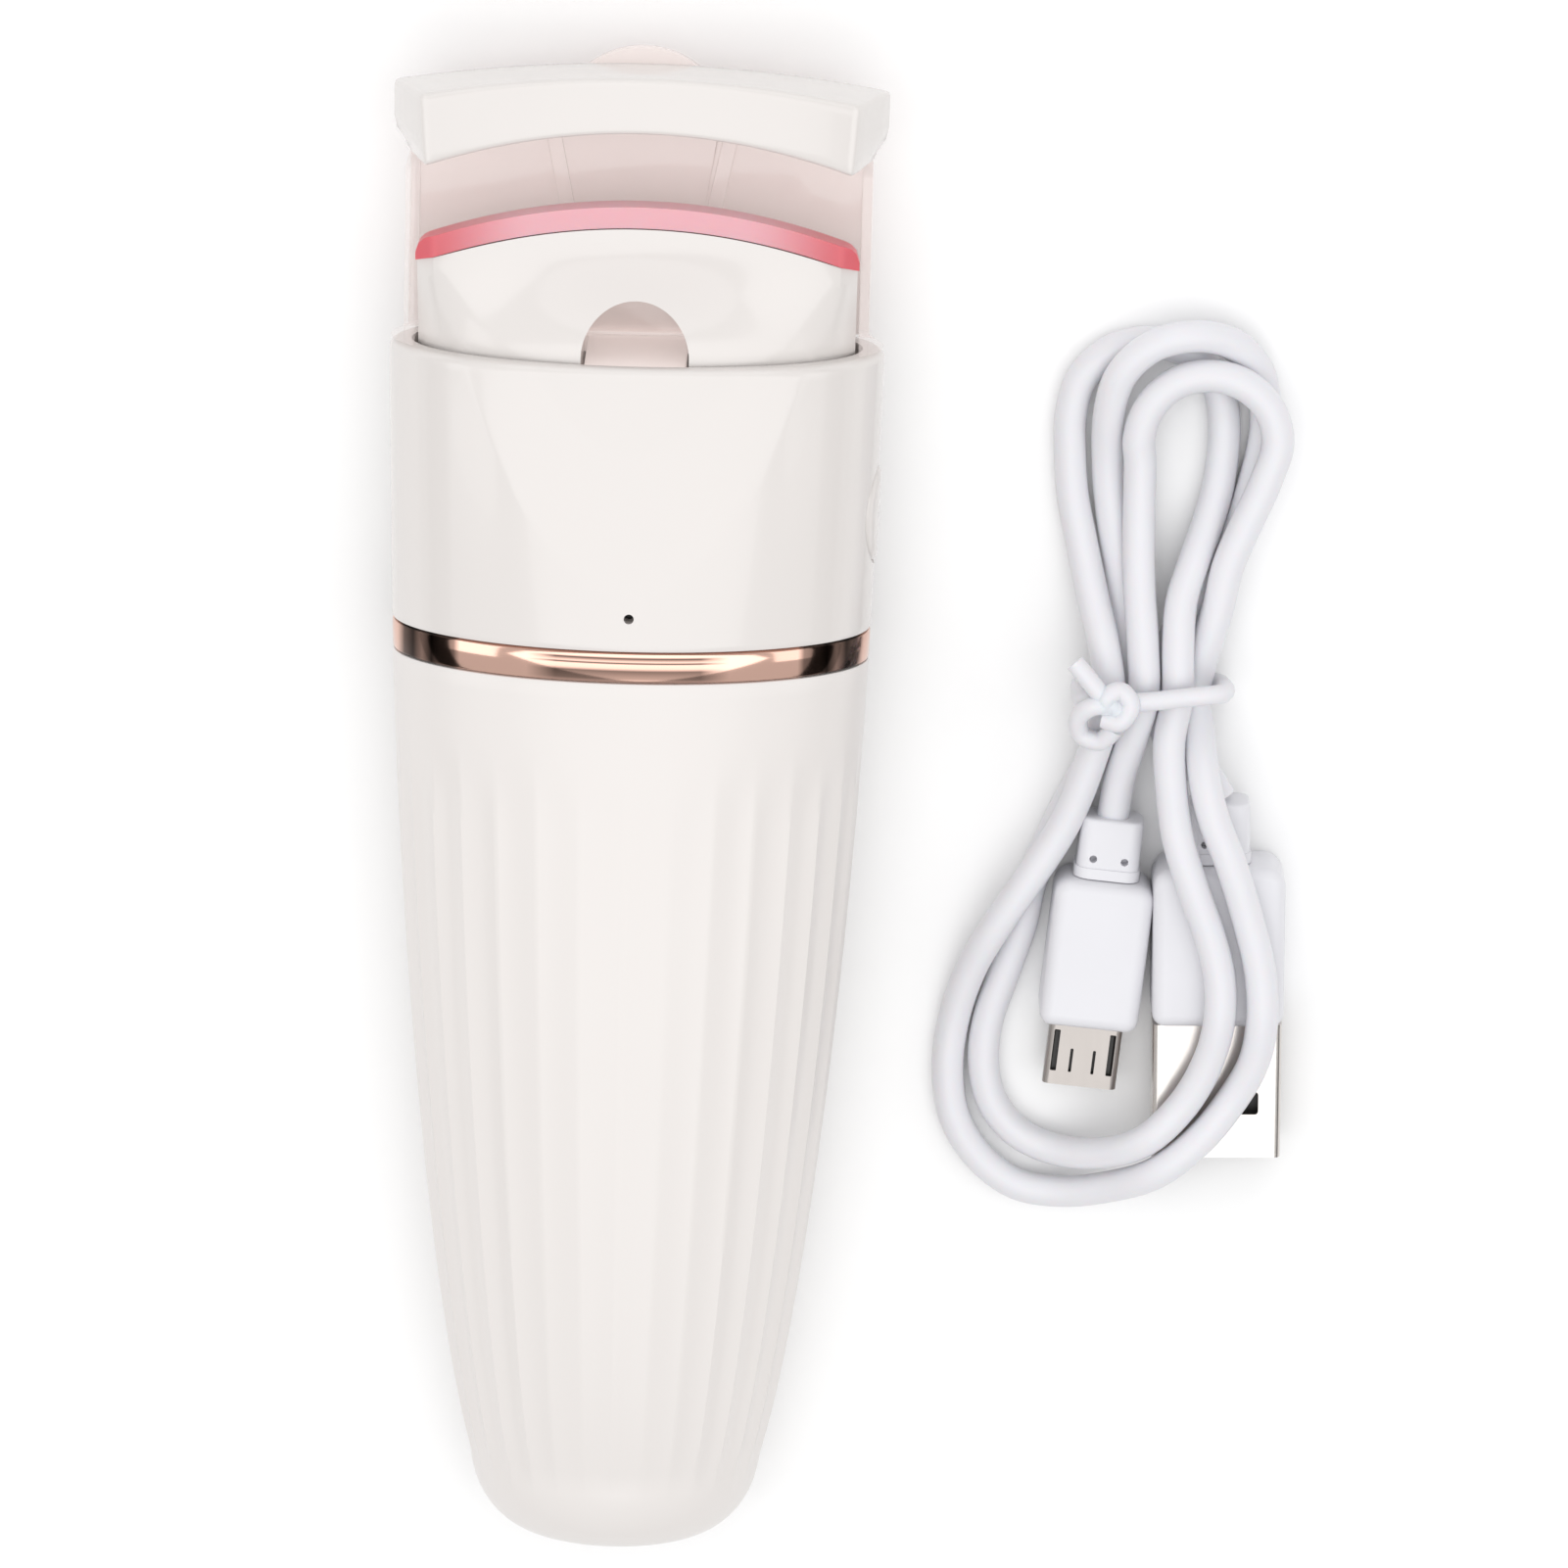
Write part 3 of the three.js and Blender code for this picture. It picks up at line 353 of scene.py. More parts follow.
def rounded_edges(piece, test, width, segments=3):
    edit(piece)
    pick(piece, "edges", test)
    bpy.ops.mesh.bevel(
        offset=width, segments=segments, profile=0.5, affect="EDGES", clamp_overlap=True
    )
    leave()


def sharp(edge, degrees):
    return len(edge.link_faces) == 2 and edge.calc_face_angle(0) > math.radians(degrees)


def ringed(name, rings, segments, place):
    """A tube: a circle extruded once for each ring, each vertex placed by its ring and angle."""
    deselect()
    bpy.ops.mesh.primitive_circle_add(vertices=segments, radius=1, fill_type="NOTHING")
    piece = bpy.context.object
    piece.name = name
    bpy.ops.object.mode_set(mode="EDIT")
    bpy.ops.mesh.select_all(action="SELECT")
    for _ in rings[1:]:
        bpy.ops.mesh.extrude_edges_move(TRANSFORM_OT_translate={"value": (0, 0, 1)})
    leave()
    for vertex in piece.data.vertices:
        angle = math.atan2(vertex.co.x, vertex.co.y)
        vertex.co = place(rings[round(vertex.co.z)], angle)
    close_up(piece)
    return piece


def formed(name, across, up, deep, place):
    """A block: a grid extruded in layers; across, up and deep are the lists of its lines."""
    deselect()
    columns, rows = len(across) - 1, len(up) - 1
    bpy.ops.mesh.primitive_grid_add(x_subdivisions=columns, y_subdivisions=rows, size=2)
    piece = bpy.context.object
    piece.name = name
    bpy.ops.object.mode_set(mode="EDIT")
    bpy.ops.mesh.select_all(action="SELECT")
    for _ in deep[1:]:
        bpy.ops.mesh.extrude_region_move(TRANSFORM_OT_translate={"value": (0, 0, 1)})
    leave()
    for vertex in piece.data.vertices:
        column = round((vertex.co.x + 1) / 2 * columns)
        row = round((vertex.co.y + 1) / 2 * rows)
        vertex.co = place(across[column], up[row], deep[round(vertex.co.z)])
    close_up(piece)
    return piece


def even(low, high, count):
    return [mix(low, high, i / count) for i in range(count + 1)]


def bar(name, low, high, corner, segments=4, along="Y"):
    """A box with the four edges along one axis rounded."""
    deselect()
    centre = [(a + b) / 2 for a, b in zip(low, high)]
    bpy.ops.mesh.primitive_cube_add(size=1, location=centre)
    piece = bpy.context.object
    piece.name = name
    piece.scale = [b - a for a, b in zip(low, high)]
    settle(piece)
    axis = "XYZ".index(along)

    def runs_along(edge):
        a, b = (v.co for v in edge.verts)
        if abs(a[axis] - b[axis]) < 0.5 * abs(high[axis] - low[axis]):
            return False
        return all(abs(a[k] - b[k]) < MERGE_GAP for k in range(3) if k != axis)

    if corner:
        rounded_edges(piece, runs_along, corner, segments)
    return piece


def drum(name, centre, radius, height, sides=32, axis="Z"):
    deselect()
    turn = {"X": (0, math.pi / 2, 0), "Y": (math.pi / 2, 0, 0), "Z": (0, 0, 0)}[axis]
    bpy.ops.mesh.primitive_cylinder_add(
        vertices=sides, radius=radius, depth=height, location=centre, rotation=turn
    )
    piece = bpy.context.object
    piece.name = name
    settle(piece)
    return piece


def shown(piece, material, body, slot, *nodes):
    """Gives a finished piece its material and its body, and hides the part's nodes that it stands
    for.
    """
    piece.data.materials.clear()
    piece.data.materials.append(material)
    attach(piece, body)
    if nodes:
        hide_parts(*nodes)
    return piece


# ---------------------------------------------------------------- shared shader groups
def new_group(name, values):
    """A group from a Vector and the named values to a colour, a roughness and a height."""
    group = bpy.data.node_groups.new(name, "ShaderNodeTree")
    group.interface.new_socket(name="Vector", in_out="INPUT", socket_type="NodeSocketVector")
    for key, value in values.items():
        kind = "NodeSocketColor" if isinstance(value, tuple) else "NodeSocketFloat"
        socket = group.interface.new_socket(name=key, in_out="INPUT", socket_type=kind)
        socket.default_value = value
    outputs = (("Colour", "Color"), ("Roughness", "Float"), ("Height", "Float"))
    for key, kind in outputs:
        group.interface.new_socket(name=key, in_out="OUTPUT", socket_type=f"NodeSocket{kind}")
    return group


def noise(group, vector, detail):
    """A noise texture that follows a vector."""
    texture = group.nodes.new("ShaderNodeTexNoise")
    texture.inputs["Detail"].default_value = detail
    group.links.new(vector, texture.inputs["Vector"])
    return texture


def two_tones(group, source, result, texture):
    """Mixes the group's two colours by a texture."""
    blend = group.nodes.new("ShaderNodeMix")
    blend.data_type = "RGBA"
    group.links.new(texture.outputs["Fac"], blend.inputs["Factor"])
    group.links.new(source.outputs["Colour"], blend.inputs["A"])
    group.links.new(source.outputs["Shade"], blend.inputs["B"])
    group.links.new(blend.outputs["Result"], result.inputs["Colour"])


def uneven(group, source, result, texture, name):
    """Spreads the roughness between the group's low and high values by a texture."""
    gloss = group.nodes.new("ShaderNodeMapRange")
    group.links.new(texture.outputs["Fac"], gloss.inputs["Value"])
    group.links.new(source.outputs[f"{name} Low"], gloss.inputs["To Min"])
    group.links.new(source.outputs[f"{name} High"], gloss.inputs["To Max"])
    group.links.new(gloss.outputs["Result"], result.inputs["Roughness"])


def moulded_skin():
    """Moulded plastic or rubber: a faint mottle of two colours, uneven gloss and a fine grain."""
    group = new_group(
        "Moulded Skin",
        {
            "Colour": (0.8, 0.8, 0.8, 1),
            "Shade": (0.7, 0.7, 0.7, 1),
            "Mottle Scale": 60,
            "Grain Scale": 3000,
            "Gloss Low": 0.2,
            "Gloss High": 0.3,
        },
    )
    nodes, links = group.nodes, group.links
    source, result = nodes.new("NodeGroupInput"), nodes.new("NodeGroupOutput")
    mottle = noise(group, source.outputs["Vector"], 4)
    grain = noise(group, source.outputs["Vector"], 2)
    links.new(source.outputs["Mottle Scale"], mottle.inputs["Scale"])
    links.new(source.outputs["Grain Scale"], grain.inputs["Scale"])
    two_tones(group, source, result, mottle)
    uneven(group, source, result, mottle, "Gloss")
    links.new(grain.outputs["Fac"], result.inputs["Height"])
    return group


def drawn_metal():
    """Drawn or polished metal: two tones in faint streaks along Y, with uneven polish."""
    group = new_group(
        "Drawn Metal",
        {
            "Colour": (0.7, 0.7, 0.7, 1),
            "Shade": (0.5, 0.5, 0.5, 1),
            "Streak Scale": 900,
            "Polish Low": 0.1,
            "Polish High": 0.25,
        },
    )
    nodes, links = group.nodes, group.links
    source, result = nodes.new("NodeGroupInput"), nodes.new("NodeGroupOutput")
    stretch = nodes.new("ShaderNodeMapping")
    stretch.inputs["Scale"].default_value = (1, 0.06, 1)
    links.new(source.outputs["Vector"], stretch.inputs["Vector"])
    streak = noise(group, stretch.outputs["Vector"], 3)
    patch = noise(group, source.outputs["Vector"], 2)
    patch.inputs["Scale"].default_value = 220
    links.new(source.outputs["Streak Scale"], streak.inputs["Scale"])
    two_tones(group, source, result, streak)
    uneven(group, source, result, patch, "Polish")
    links.new(streak.outputs["Fac"], result.inputs["Height"])
    return group


SHADER_GROUPS = {"Moulded Skin": moulded_skin, "Drawn Metal": drawn_metal}


def shader_group(name):
    return bpy.data.node_groups.get(name) or SHADER_GROUPS[name]()


def shaded(rgb, by):
    return tuple(c * by for c in rgb) + (1,)


def finish_with(name, group_name, values, bump, fixed):
    """A material led by a shared group; fixed holds the shader's own values."""
    known = bpy.data.materials.get(name)
    if known:
        return known
    material = bpy.data.materials.new(name)
    material.use_nodes = True
    nodes, links = material.node_tree.nodes, material.node_tree.links
    shader = nodes["Principled BSDF"]
    where = nodes.new("ShaderNodeTexCoord")
    group = nodes.new("ShaderNodeGroup")
    group.node_tree = shader_group(group_name)
    group.name = group_name
    links.new(where.outputs["Object"], group.inputs["Vector"])
    for key, value in values.items():
        group.inputs[key].default_value = value
    links.new(group.outputs["Colour"], shader.inputs["Base Color"])
    links.new(group.outputs["Roughness"], shader.inputs["Roughness"])
    if bump:
        relief = nodes.new("ShaderNodeBump")
        relief.inputs["Strength"].default_value = bump[0]
        relief.inputs["Distance"].default_value = bump[1]
        links.new(group.outputs["Height"], relief.inputs["Height"])
        links.new(relief.outputs["Normal"], shader.inputs["Normal"])
    for key, value in fixed.items():
        shader.inputs[key].default_value = value
    material.diffuse_color = values["Colour"]
    return material


def skin_values(rgb, shade, low, high, mottle=60, grain=3000):
    return {
        "Colour": (*rgb, 1),
        "Shade": shaded(rgb, shade),
        "Mottle Scale": mottle,
        "Grain Scale": grain,
        "Gloss Low": low,
        "Gloss High": high,
    }


def metal_values(rgb, shade, low, high, streak=900):
    return {
        "Colour": (*rgb, 1),
        "Shade": shaded(rgb, shade),
        "Streak Scale": streak,
        "Polish Low": low,
        "Polish High": high,
    }


def glossy_shell():
    values = skin_values(sizes("curler_colours").shell, 0.985, 0.13, 0.2)
    fixed = {"Coat Weight": 0.25, "IOR": 1.5}
    return finish_with("Glossy warm white", "Moulded Skin", values, (0.05, 2e-5), fixed)


def satin_handle():
    values = skin_values(sizes("curler_colours").handle, 0.985, 0.26, 0.34)
    return finish_with("Satin warm white", "Moulded Skin", values, (0.06, 2e-5), {"IOR": 1.5})


def ranged(nodes, links, source, low, high, start=0, end=1, interpolation="SMOOTHSTEP"):
    """A value that goes from start to end between two places."""
    step = nodes.new("ShaderNodeMapRange")
    step.interpolation_type = interpolation
    step.inputs["From Min"].default_value = low
    step.inputs["From Max"].default_value = high
    step.inputs["To Min"].default_value = start
    step.inputs["To Max"].default_value = end
    links.new(source, step.inputs["Value"])
    return step.outputs["Result"]


def along(material):
    """The object's own coordinates in a material, one output for each axis."""
    nodes, links = material.node_tree.nodes, material.node_tree.links
    parts = nodes.new("ShaderNodeSeparateXYZ")
    links.new(nodes["Texture Coordinate"].outputs["Object"], parts.inputs["Vector"])
    return parts.outputs


def outward(nodes, links, across):
    """Distance from the middle, the same on both sides."""
    distance = nodes.new("ShaderNodeMath")
    distance.operation = "ABSOLUTE"
    links.new(across, distance.inputs[0])
    return distance.outputs["Value"]


def tone_ramp(nodes, links, source, low, high, stops):
    """Tones spread between two places along one coordinate."""
    ramp = nodes.new("ShaderNodeValToRGB")
    elements = ramp.color_ramp.elements
    elements[0].position, elements[0].color = stops[0][0], shaded((1, 1, 1), stops[0][1])
    elements[1].position, elements[1].color = stops[-1][0], shaded((1, 1, 1), stops[-1][1])
    for at, tone in stops[1:-1]:
        elements.new(at).color = shaded((1, 1, 1), tone)
    links.new(ranged(nodes, links, source, low, high, interpolation="LINEAR"), ramp.inputs["Fac"])
    return ramp.outputs["Color"]


def multiplied(nodes, links, first, second):
    """Two colours multiplied; each is a socket or a fixed colour."""
    mix_node = nodes.new("ShaderNodeMix")
    mix_node.data_type, mix_node.blend_type = "RGBA", "MULTIPLY"
    mix_node.inputs["Factor"].default_value = 1
    for socket, source in ((mix_node.inputs["A"], first), (mix_node.inputs["B"], second)):
        if isinstance(source, tuple):
            socket.default_value = source
        else:
            links.new(source, socket)
    return mix_node.outputs["Result"]


# Tones of the painted reflections on the ring, each at its share of the way: along its half width,
# and up its middle.
RING_REFLECTION_BARS = (
    (0, 1), (0.7, 1), (0.725, 0.3), (0.79, 0.16), (0.82, 0.03), (0.86, 0.25), (0.9, 0.03),
    (0.94, 0.12), (0.97, 0.8),
)
RING_REFLECTION_LINES = (
    (0, 0.9), (0.14, 0.35), (0.4, 0.16), (0.5, 0.8), (0.62, 0.9), (0.67, 0.05), (0.72, 0.8),
    (0.84, 0.05), (0.9, 0.95),
)
RING_REFLECTION_LINES_FADE = (0.3, 0.42)


def polished_rose_gold():
    """Rose gold with painted reflections of the room in its colour: dark bars at its ends, fine
    lines in its middle.
    """
    name = "Polished rose gold"
    known = bpy.data.materials.get(name)
    if known:
        return known
    gold = sizes("curler_colours").rose_gold
    values = metal_values(gold, 0.93, 0.07, 0.13)
    material = finish_with(name, "Drawn Metal", values, (0.02, 1e-5), {"Metallic": 1})
    nodes, links = material.node_tree.nodes, material.node_tree.links
    group, place = nodes["Drawn Metal"], along(material)
    aside = outward(nodes, links, place["X"])
    reach = node_high("trim_ring").x
    low, high = (corner.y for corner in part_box("trim_ring"))
    fade_low, fade_high = (share * reach for share in RING_REFLECTION_LINES_FADE)
    # Painted reflection: dark bars toward the ring's ends and fine lines up its middle, fading out
    # to the sides, multiplied into the gold.
    ends = tone_ramp(nodes, links, aside, 0, reach, RING_REFLECTION_BARS)
    middle = tone_ramp(nodes, links, place["Y"], low, high, RING_REFLECTION_LINES)
    inward = tone_ramp(nodes, links, aside, fade_low, fade_high, ((0, 0), (1, 1)))
    reflection_lines_faded = nodes.new("ShaderNodeMix")
    reflection_lines_faded.data_type = "RGBA"
    reflection_lines_faded.inputs["B"].default_value = (1, 1, 1, 1)
    links.new(inward, reflection_lines_faded.inputs["Factor"])
    links.new(middle, reflection_lines_faded.inputs["A"])
    painted_reflections = multiplied(nodes, links, ends, reflection_lines_faded.outputs["Result"])
    tinted_reflections = multiplied(nodes, links, painted_reflections, (*gold, 1))
    links.new(tinted_reflections, group.inputs["Colour"])
    links.new(tinted_reflections, group.inputs["Shade"])
    return material


def bright_steel():
    values = metal_values(sizes("curler_colours").steel, 0.88, 0.16, 0.27)
    return finish_with("Bright steel", "Drawn Metal", values, (0.05, 1e-5), {"Metallic": 1})


def tinned_steel():
    values = metal_values(sizes("curler_colours").tinned, 0.9, 0.24, 0.36)
    return finish_with("Tinned steel", "Drawn Metal", values, (0.05, 1e-5), {"Metallic": 1})


def lead_jacket():
    values = skin_values(sizes("curler_colours").lead, 0.975, 0.34, 0.44, grain=2200)
    fixed = {"IOR": 1.48, "Subsurface Weight": 0.12, "Subsurface Scale": 0.001}
    return finish_with("Cool white jacket", "Moulded Skin", values, (0.12, 3e-5), fixed)


def moulded_plug():
    values = skin_values(sizes("curler_colours").lead, 0.96, 0.3, 0.42, mottle=120, grain=1800)
    return finish_with("Moulded plug white", "Moulded Skin", values, (0.15, 3e-5), {"IOR": 1.48})


FLOOR_EDGE = 0.3 * MM  # over which the hood's floor ends above the rim
FROST_DEPTH = (5.6 * MM, 6.6 * MM)  # from the hood's back, where its walls turn clear


def clear_plastic():
    """Tinted clear plastic: thick walls look frosted, and the hood glows by emission as painted
    light for the light passing through it, most on its floor.
    """
    name = "Clear tinted plastic"
    known = bpy.data.materials.get(name)
    if known:
        return known
    tint = sizes("curler_colours").hood
    values = skin_values(tint, 0.96, 0.04, 0.1, mottle=40)
    fixed = {"IOR": 1.49, "Coat Weight": 0.3, "Emission Color": (*tint, 1)}
    material = finish_with(name, "Moulded Skin", values, None, fixed)
    nodes, links = material.node_tree.nodes, material.node_tree.links
    shader, place = nodes["Principled BSDF"], along(material)
    near, far = (node_low("hood_frame").z + depth for depth in FROST_DEPTH)
    floor_top = RIM_Y + FLOOR_EDGE
    wall = ranged(nodes, links, place["Z"], near, far, 0.62, 0.2)
    floor = ranged(nodes, links, place["Y"], RIM_Y, floor_top, 0.96, 0)
    frost = nodes.new("ShaderNodeMath")
    frost.operation = "MAXIMUM"
    links.new(wall, frost.inputs[0])
    links.new(floor, frost.inputs[1])
    links.new(frost.outputs["Value"], shader.inputs["Alpha"])
    # Painted light: the hood glows in its own tint, more on its floor at the rim than on the rest
    # of it.
    painted_glow = ranged(nodes, links, place["Y"], RIM_Y, floor_top, 0.29, 0.15)
    links.new(painted_glow, shader.inputs["Emission Strength"])
    material.surface_render_method = "BLENDED"
    return material


def dark_moulding():
    values = skin_values((0.018, 0.017, 0.016), 1.6, 0.35, 0.5)
    return finish_with("Black moulding", "Moulded Skin", values, (0.1, 3e-5), {})


def grey_moulding():
    values = skin_values((0.36, 0.36, 0.36), 0.85, 0.45, 0.6)
    return finish_with("Grey moulding", "Moulded Skin", values, (0.15, 4e-5), {})


def solder_mask():
    values = skin_values((0.02, 0.16, 0.06), 0.75, 0.2, 0.35, mottle=200, grain=900)
    return finish_with("Green board", "Moulded Skin", values, (0.2, 4e-5), {"Coat Weight": 0.4})


def foil_wrap():
    values = metal_values((0.5, 0.52, 0.55), 0.9, 0.3, 0.45, streak=300)
    return finish_with("Foil pouch", "Drawn Metal", values, (0.3, 5e-5), {"Metallic": 0.7})


def warm_lamp():
    values = skin_values((0.92, 0.84, 0.6), 0.9, 0.15, 0.25)
    return finish_with("Lamp lens", "Moulded Skin", values, None, {"Coat Weight": 0.5})


def pink_silicone():
    """Translucent pink rubber with painted backlight: pale in the middle, where light shines
    through it, and deep at its ends.
    """
    name = "Pink silicone"
    known = bpy.data.materials.get(name)
    if known:
        return known
    colours = sizes("curler_colours")
    values = skin_values(colours.pad_middle, 0.94, 0.34, 0.46, mottle=150)
    fixed = {"IOR": 1.42, "Subsurface Weight": 0.35, "Subsurface Scale": 0.0012}
    material = finish_with(name, "Moulded Skin", values, (0.1, 2e-5), fixed)
    nodes, links = material.node_tree.nodes, material.node_tree.links
    aside = outward(nodes, links, along(material)["X"])
    # Painted light: the pad's colour runs from pale in the middle, lit through from behind, to deep
    # at its ends.
    painted_backlight_fade = ranged(nodes, links, aside, CARRIAGE_HALF * 0.45, CARRIAGE_HALF)
    blend = nodes.new("ShaderNodeMix")
    blend.data_type = "RGBA"
    blend.inputs["A"].default_value = (*colours.pad_middle, 1)
    blend.inputs["B"].default_value = (*colours.pad_end, 1)
    links.new(painted_backlight_fade, blend.inputs["Factor"])
    links.new(blend.outputs["Result"], nodes["Moulded Skin"].inputs["Colour"])
    links.new(blend.outputs["Result"], nodes["Moulded Skin"].inputs["Shade"])
    return material


# ---------------------------------------------------------------- stage
AIM_X, AIM_STATION = 14.2 * MM, 73.85 * MM
FLOOR_SIZE = 3
# Name, place, width, and share of the softbox's power.
LIGHTS = (
    ("Overhead", (0.05, -0.05, 1.1), 1.3, 1),
    ("Crown", (0, 1.0, 0.55), 0.9, 0.3),
    ("Left", (-0.9, 0.1, 0.6), 0.6, 0.18),
    ("Right", (1.0, 0.1, 0.6), 0.6, 0.14),
)
CARD_PLACE, CARD_TURN, CARD_SIZE = (0.34, 0.02, 0.11), 1.3, (0.1, 0.7, 1)


class CURLER_OT_stage(bpy.types.Operator):
    """Pale floor, soft light and the camera"""

    bl_idname = "curler.stage"
    bl_label = "Stage"

    def execute(self, context):
        stage = sizes("curler_stage")
        self.camera(context, stage)
        world = bpy.data.worlds.new("Even light")
        world.use_nodes = True
        world.node_tree.nodes["Background"].inputs["Color"].default_value = (1, 1, 1, 1)
        world.node_tree.nodes["Background"].inputs["Strength"].default_value = stage.daylight
        context.scene.world = world

        deselect()
        bpy.ops.mesh.primitive_plane_add(size=FLOOR_SIZE, location=(0, 0, 0))
        floor = context.object
        floor.name = "floor"
        values = skin_values((0.96, 0.96, 0.96), 0.985, 0.6, 0.7, mottle=6, grain=400)
        finish = finish_with("Pale floor", "Moulded Skin", values, (0.05, 1e-4), {})
        floor.data.materials.append(finish)

        for name, place, width, share in LIGHTS:
            self.softbox(context, name, place, width, stage.softbox * share)
        for side in (-1, 1):
            self.flag(side)
        return {"FINISHED"}

    def camera(self, context, stage):
        lean, roll = stage.elevation, stage.roll
        toward = Vector((0, math.sin(lean), math.cos(lean)))
        up = Vector((0, math.cos(lean), -math.sin(lean)))
        right = Vector((1, 0, 0))
        across = right * math.cos(roll) + up * math.sin(roll)
        upward = up * math.cos(roll) - right * math.sin(roll)
        middle_z = sizes("curler_body").rim_half_depth - sizes("curler_body").back_flat
        aim = Vector((AIM_X, FOOT_Y + AIM_STATION, middle_z))
        data = bpy.data.cameras.new("Camera")
        data.lens, data.sensor_width = stage.lens / MM, 36
        data.clip_start, data.clip_end = 0.05, 20
        camera = bpy.data.objects.new("Camera", data)
        context.scene.collection.objects.link(camera)
        turn = Matrix((across, upward, toward)).transposed().to_4x4()
        camera.matrix_world = Matrix.Translation(aim + toward * stage.distance) @ turn
        context.scene.camera = camera
        context.scene.view_settings.view_transform = "Standard"

    def softbox(self, context, name, place, width, power):
        light = bpy.data.lights.new(name, "AREA")
        light.shape, light.size, light.energy = "SQUARE", width, power
        lamp = bpy.data.objects.new(name, light)
        context.scene.collection.objects.link(lamp)
        lamp.location = place
        lamp.rotation_euler = (-Vector(place)).to_track_quat("-Z", "Y").to_euler()
        lamp.visible_camera = False

    def flag(self, side):
        """A dark card beside the object, which only reflections see."""
        deselect()
        x, y, z = CARD_PLACE
        bpy.ops.mesh.primitive_plane_add(
            size=1, location=(side * x, y, z), rotation=(0, side * CARD_TURN, 0)
        )
        card = bpy.context.object
        card.name = "card_left" if side < 0 else "card_right"
        card.scale = CARD_SIZE
        settle(card)
        card.data.materials.append(dark_moulding())
        card.visible_camera = card.visible_diffuse = card.visible_shadow = False


# ---------------------------------------------------------------- charging lead
# The tie crosses at this place, and the strands rise over it by this much over this span.
LIFT_AT = 11.2 * MM
LIFT = 1.9 * MM
LIFT_SPAN = 7 * MM
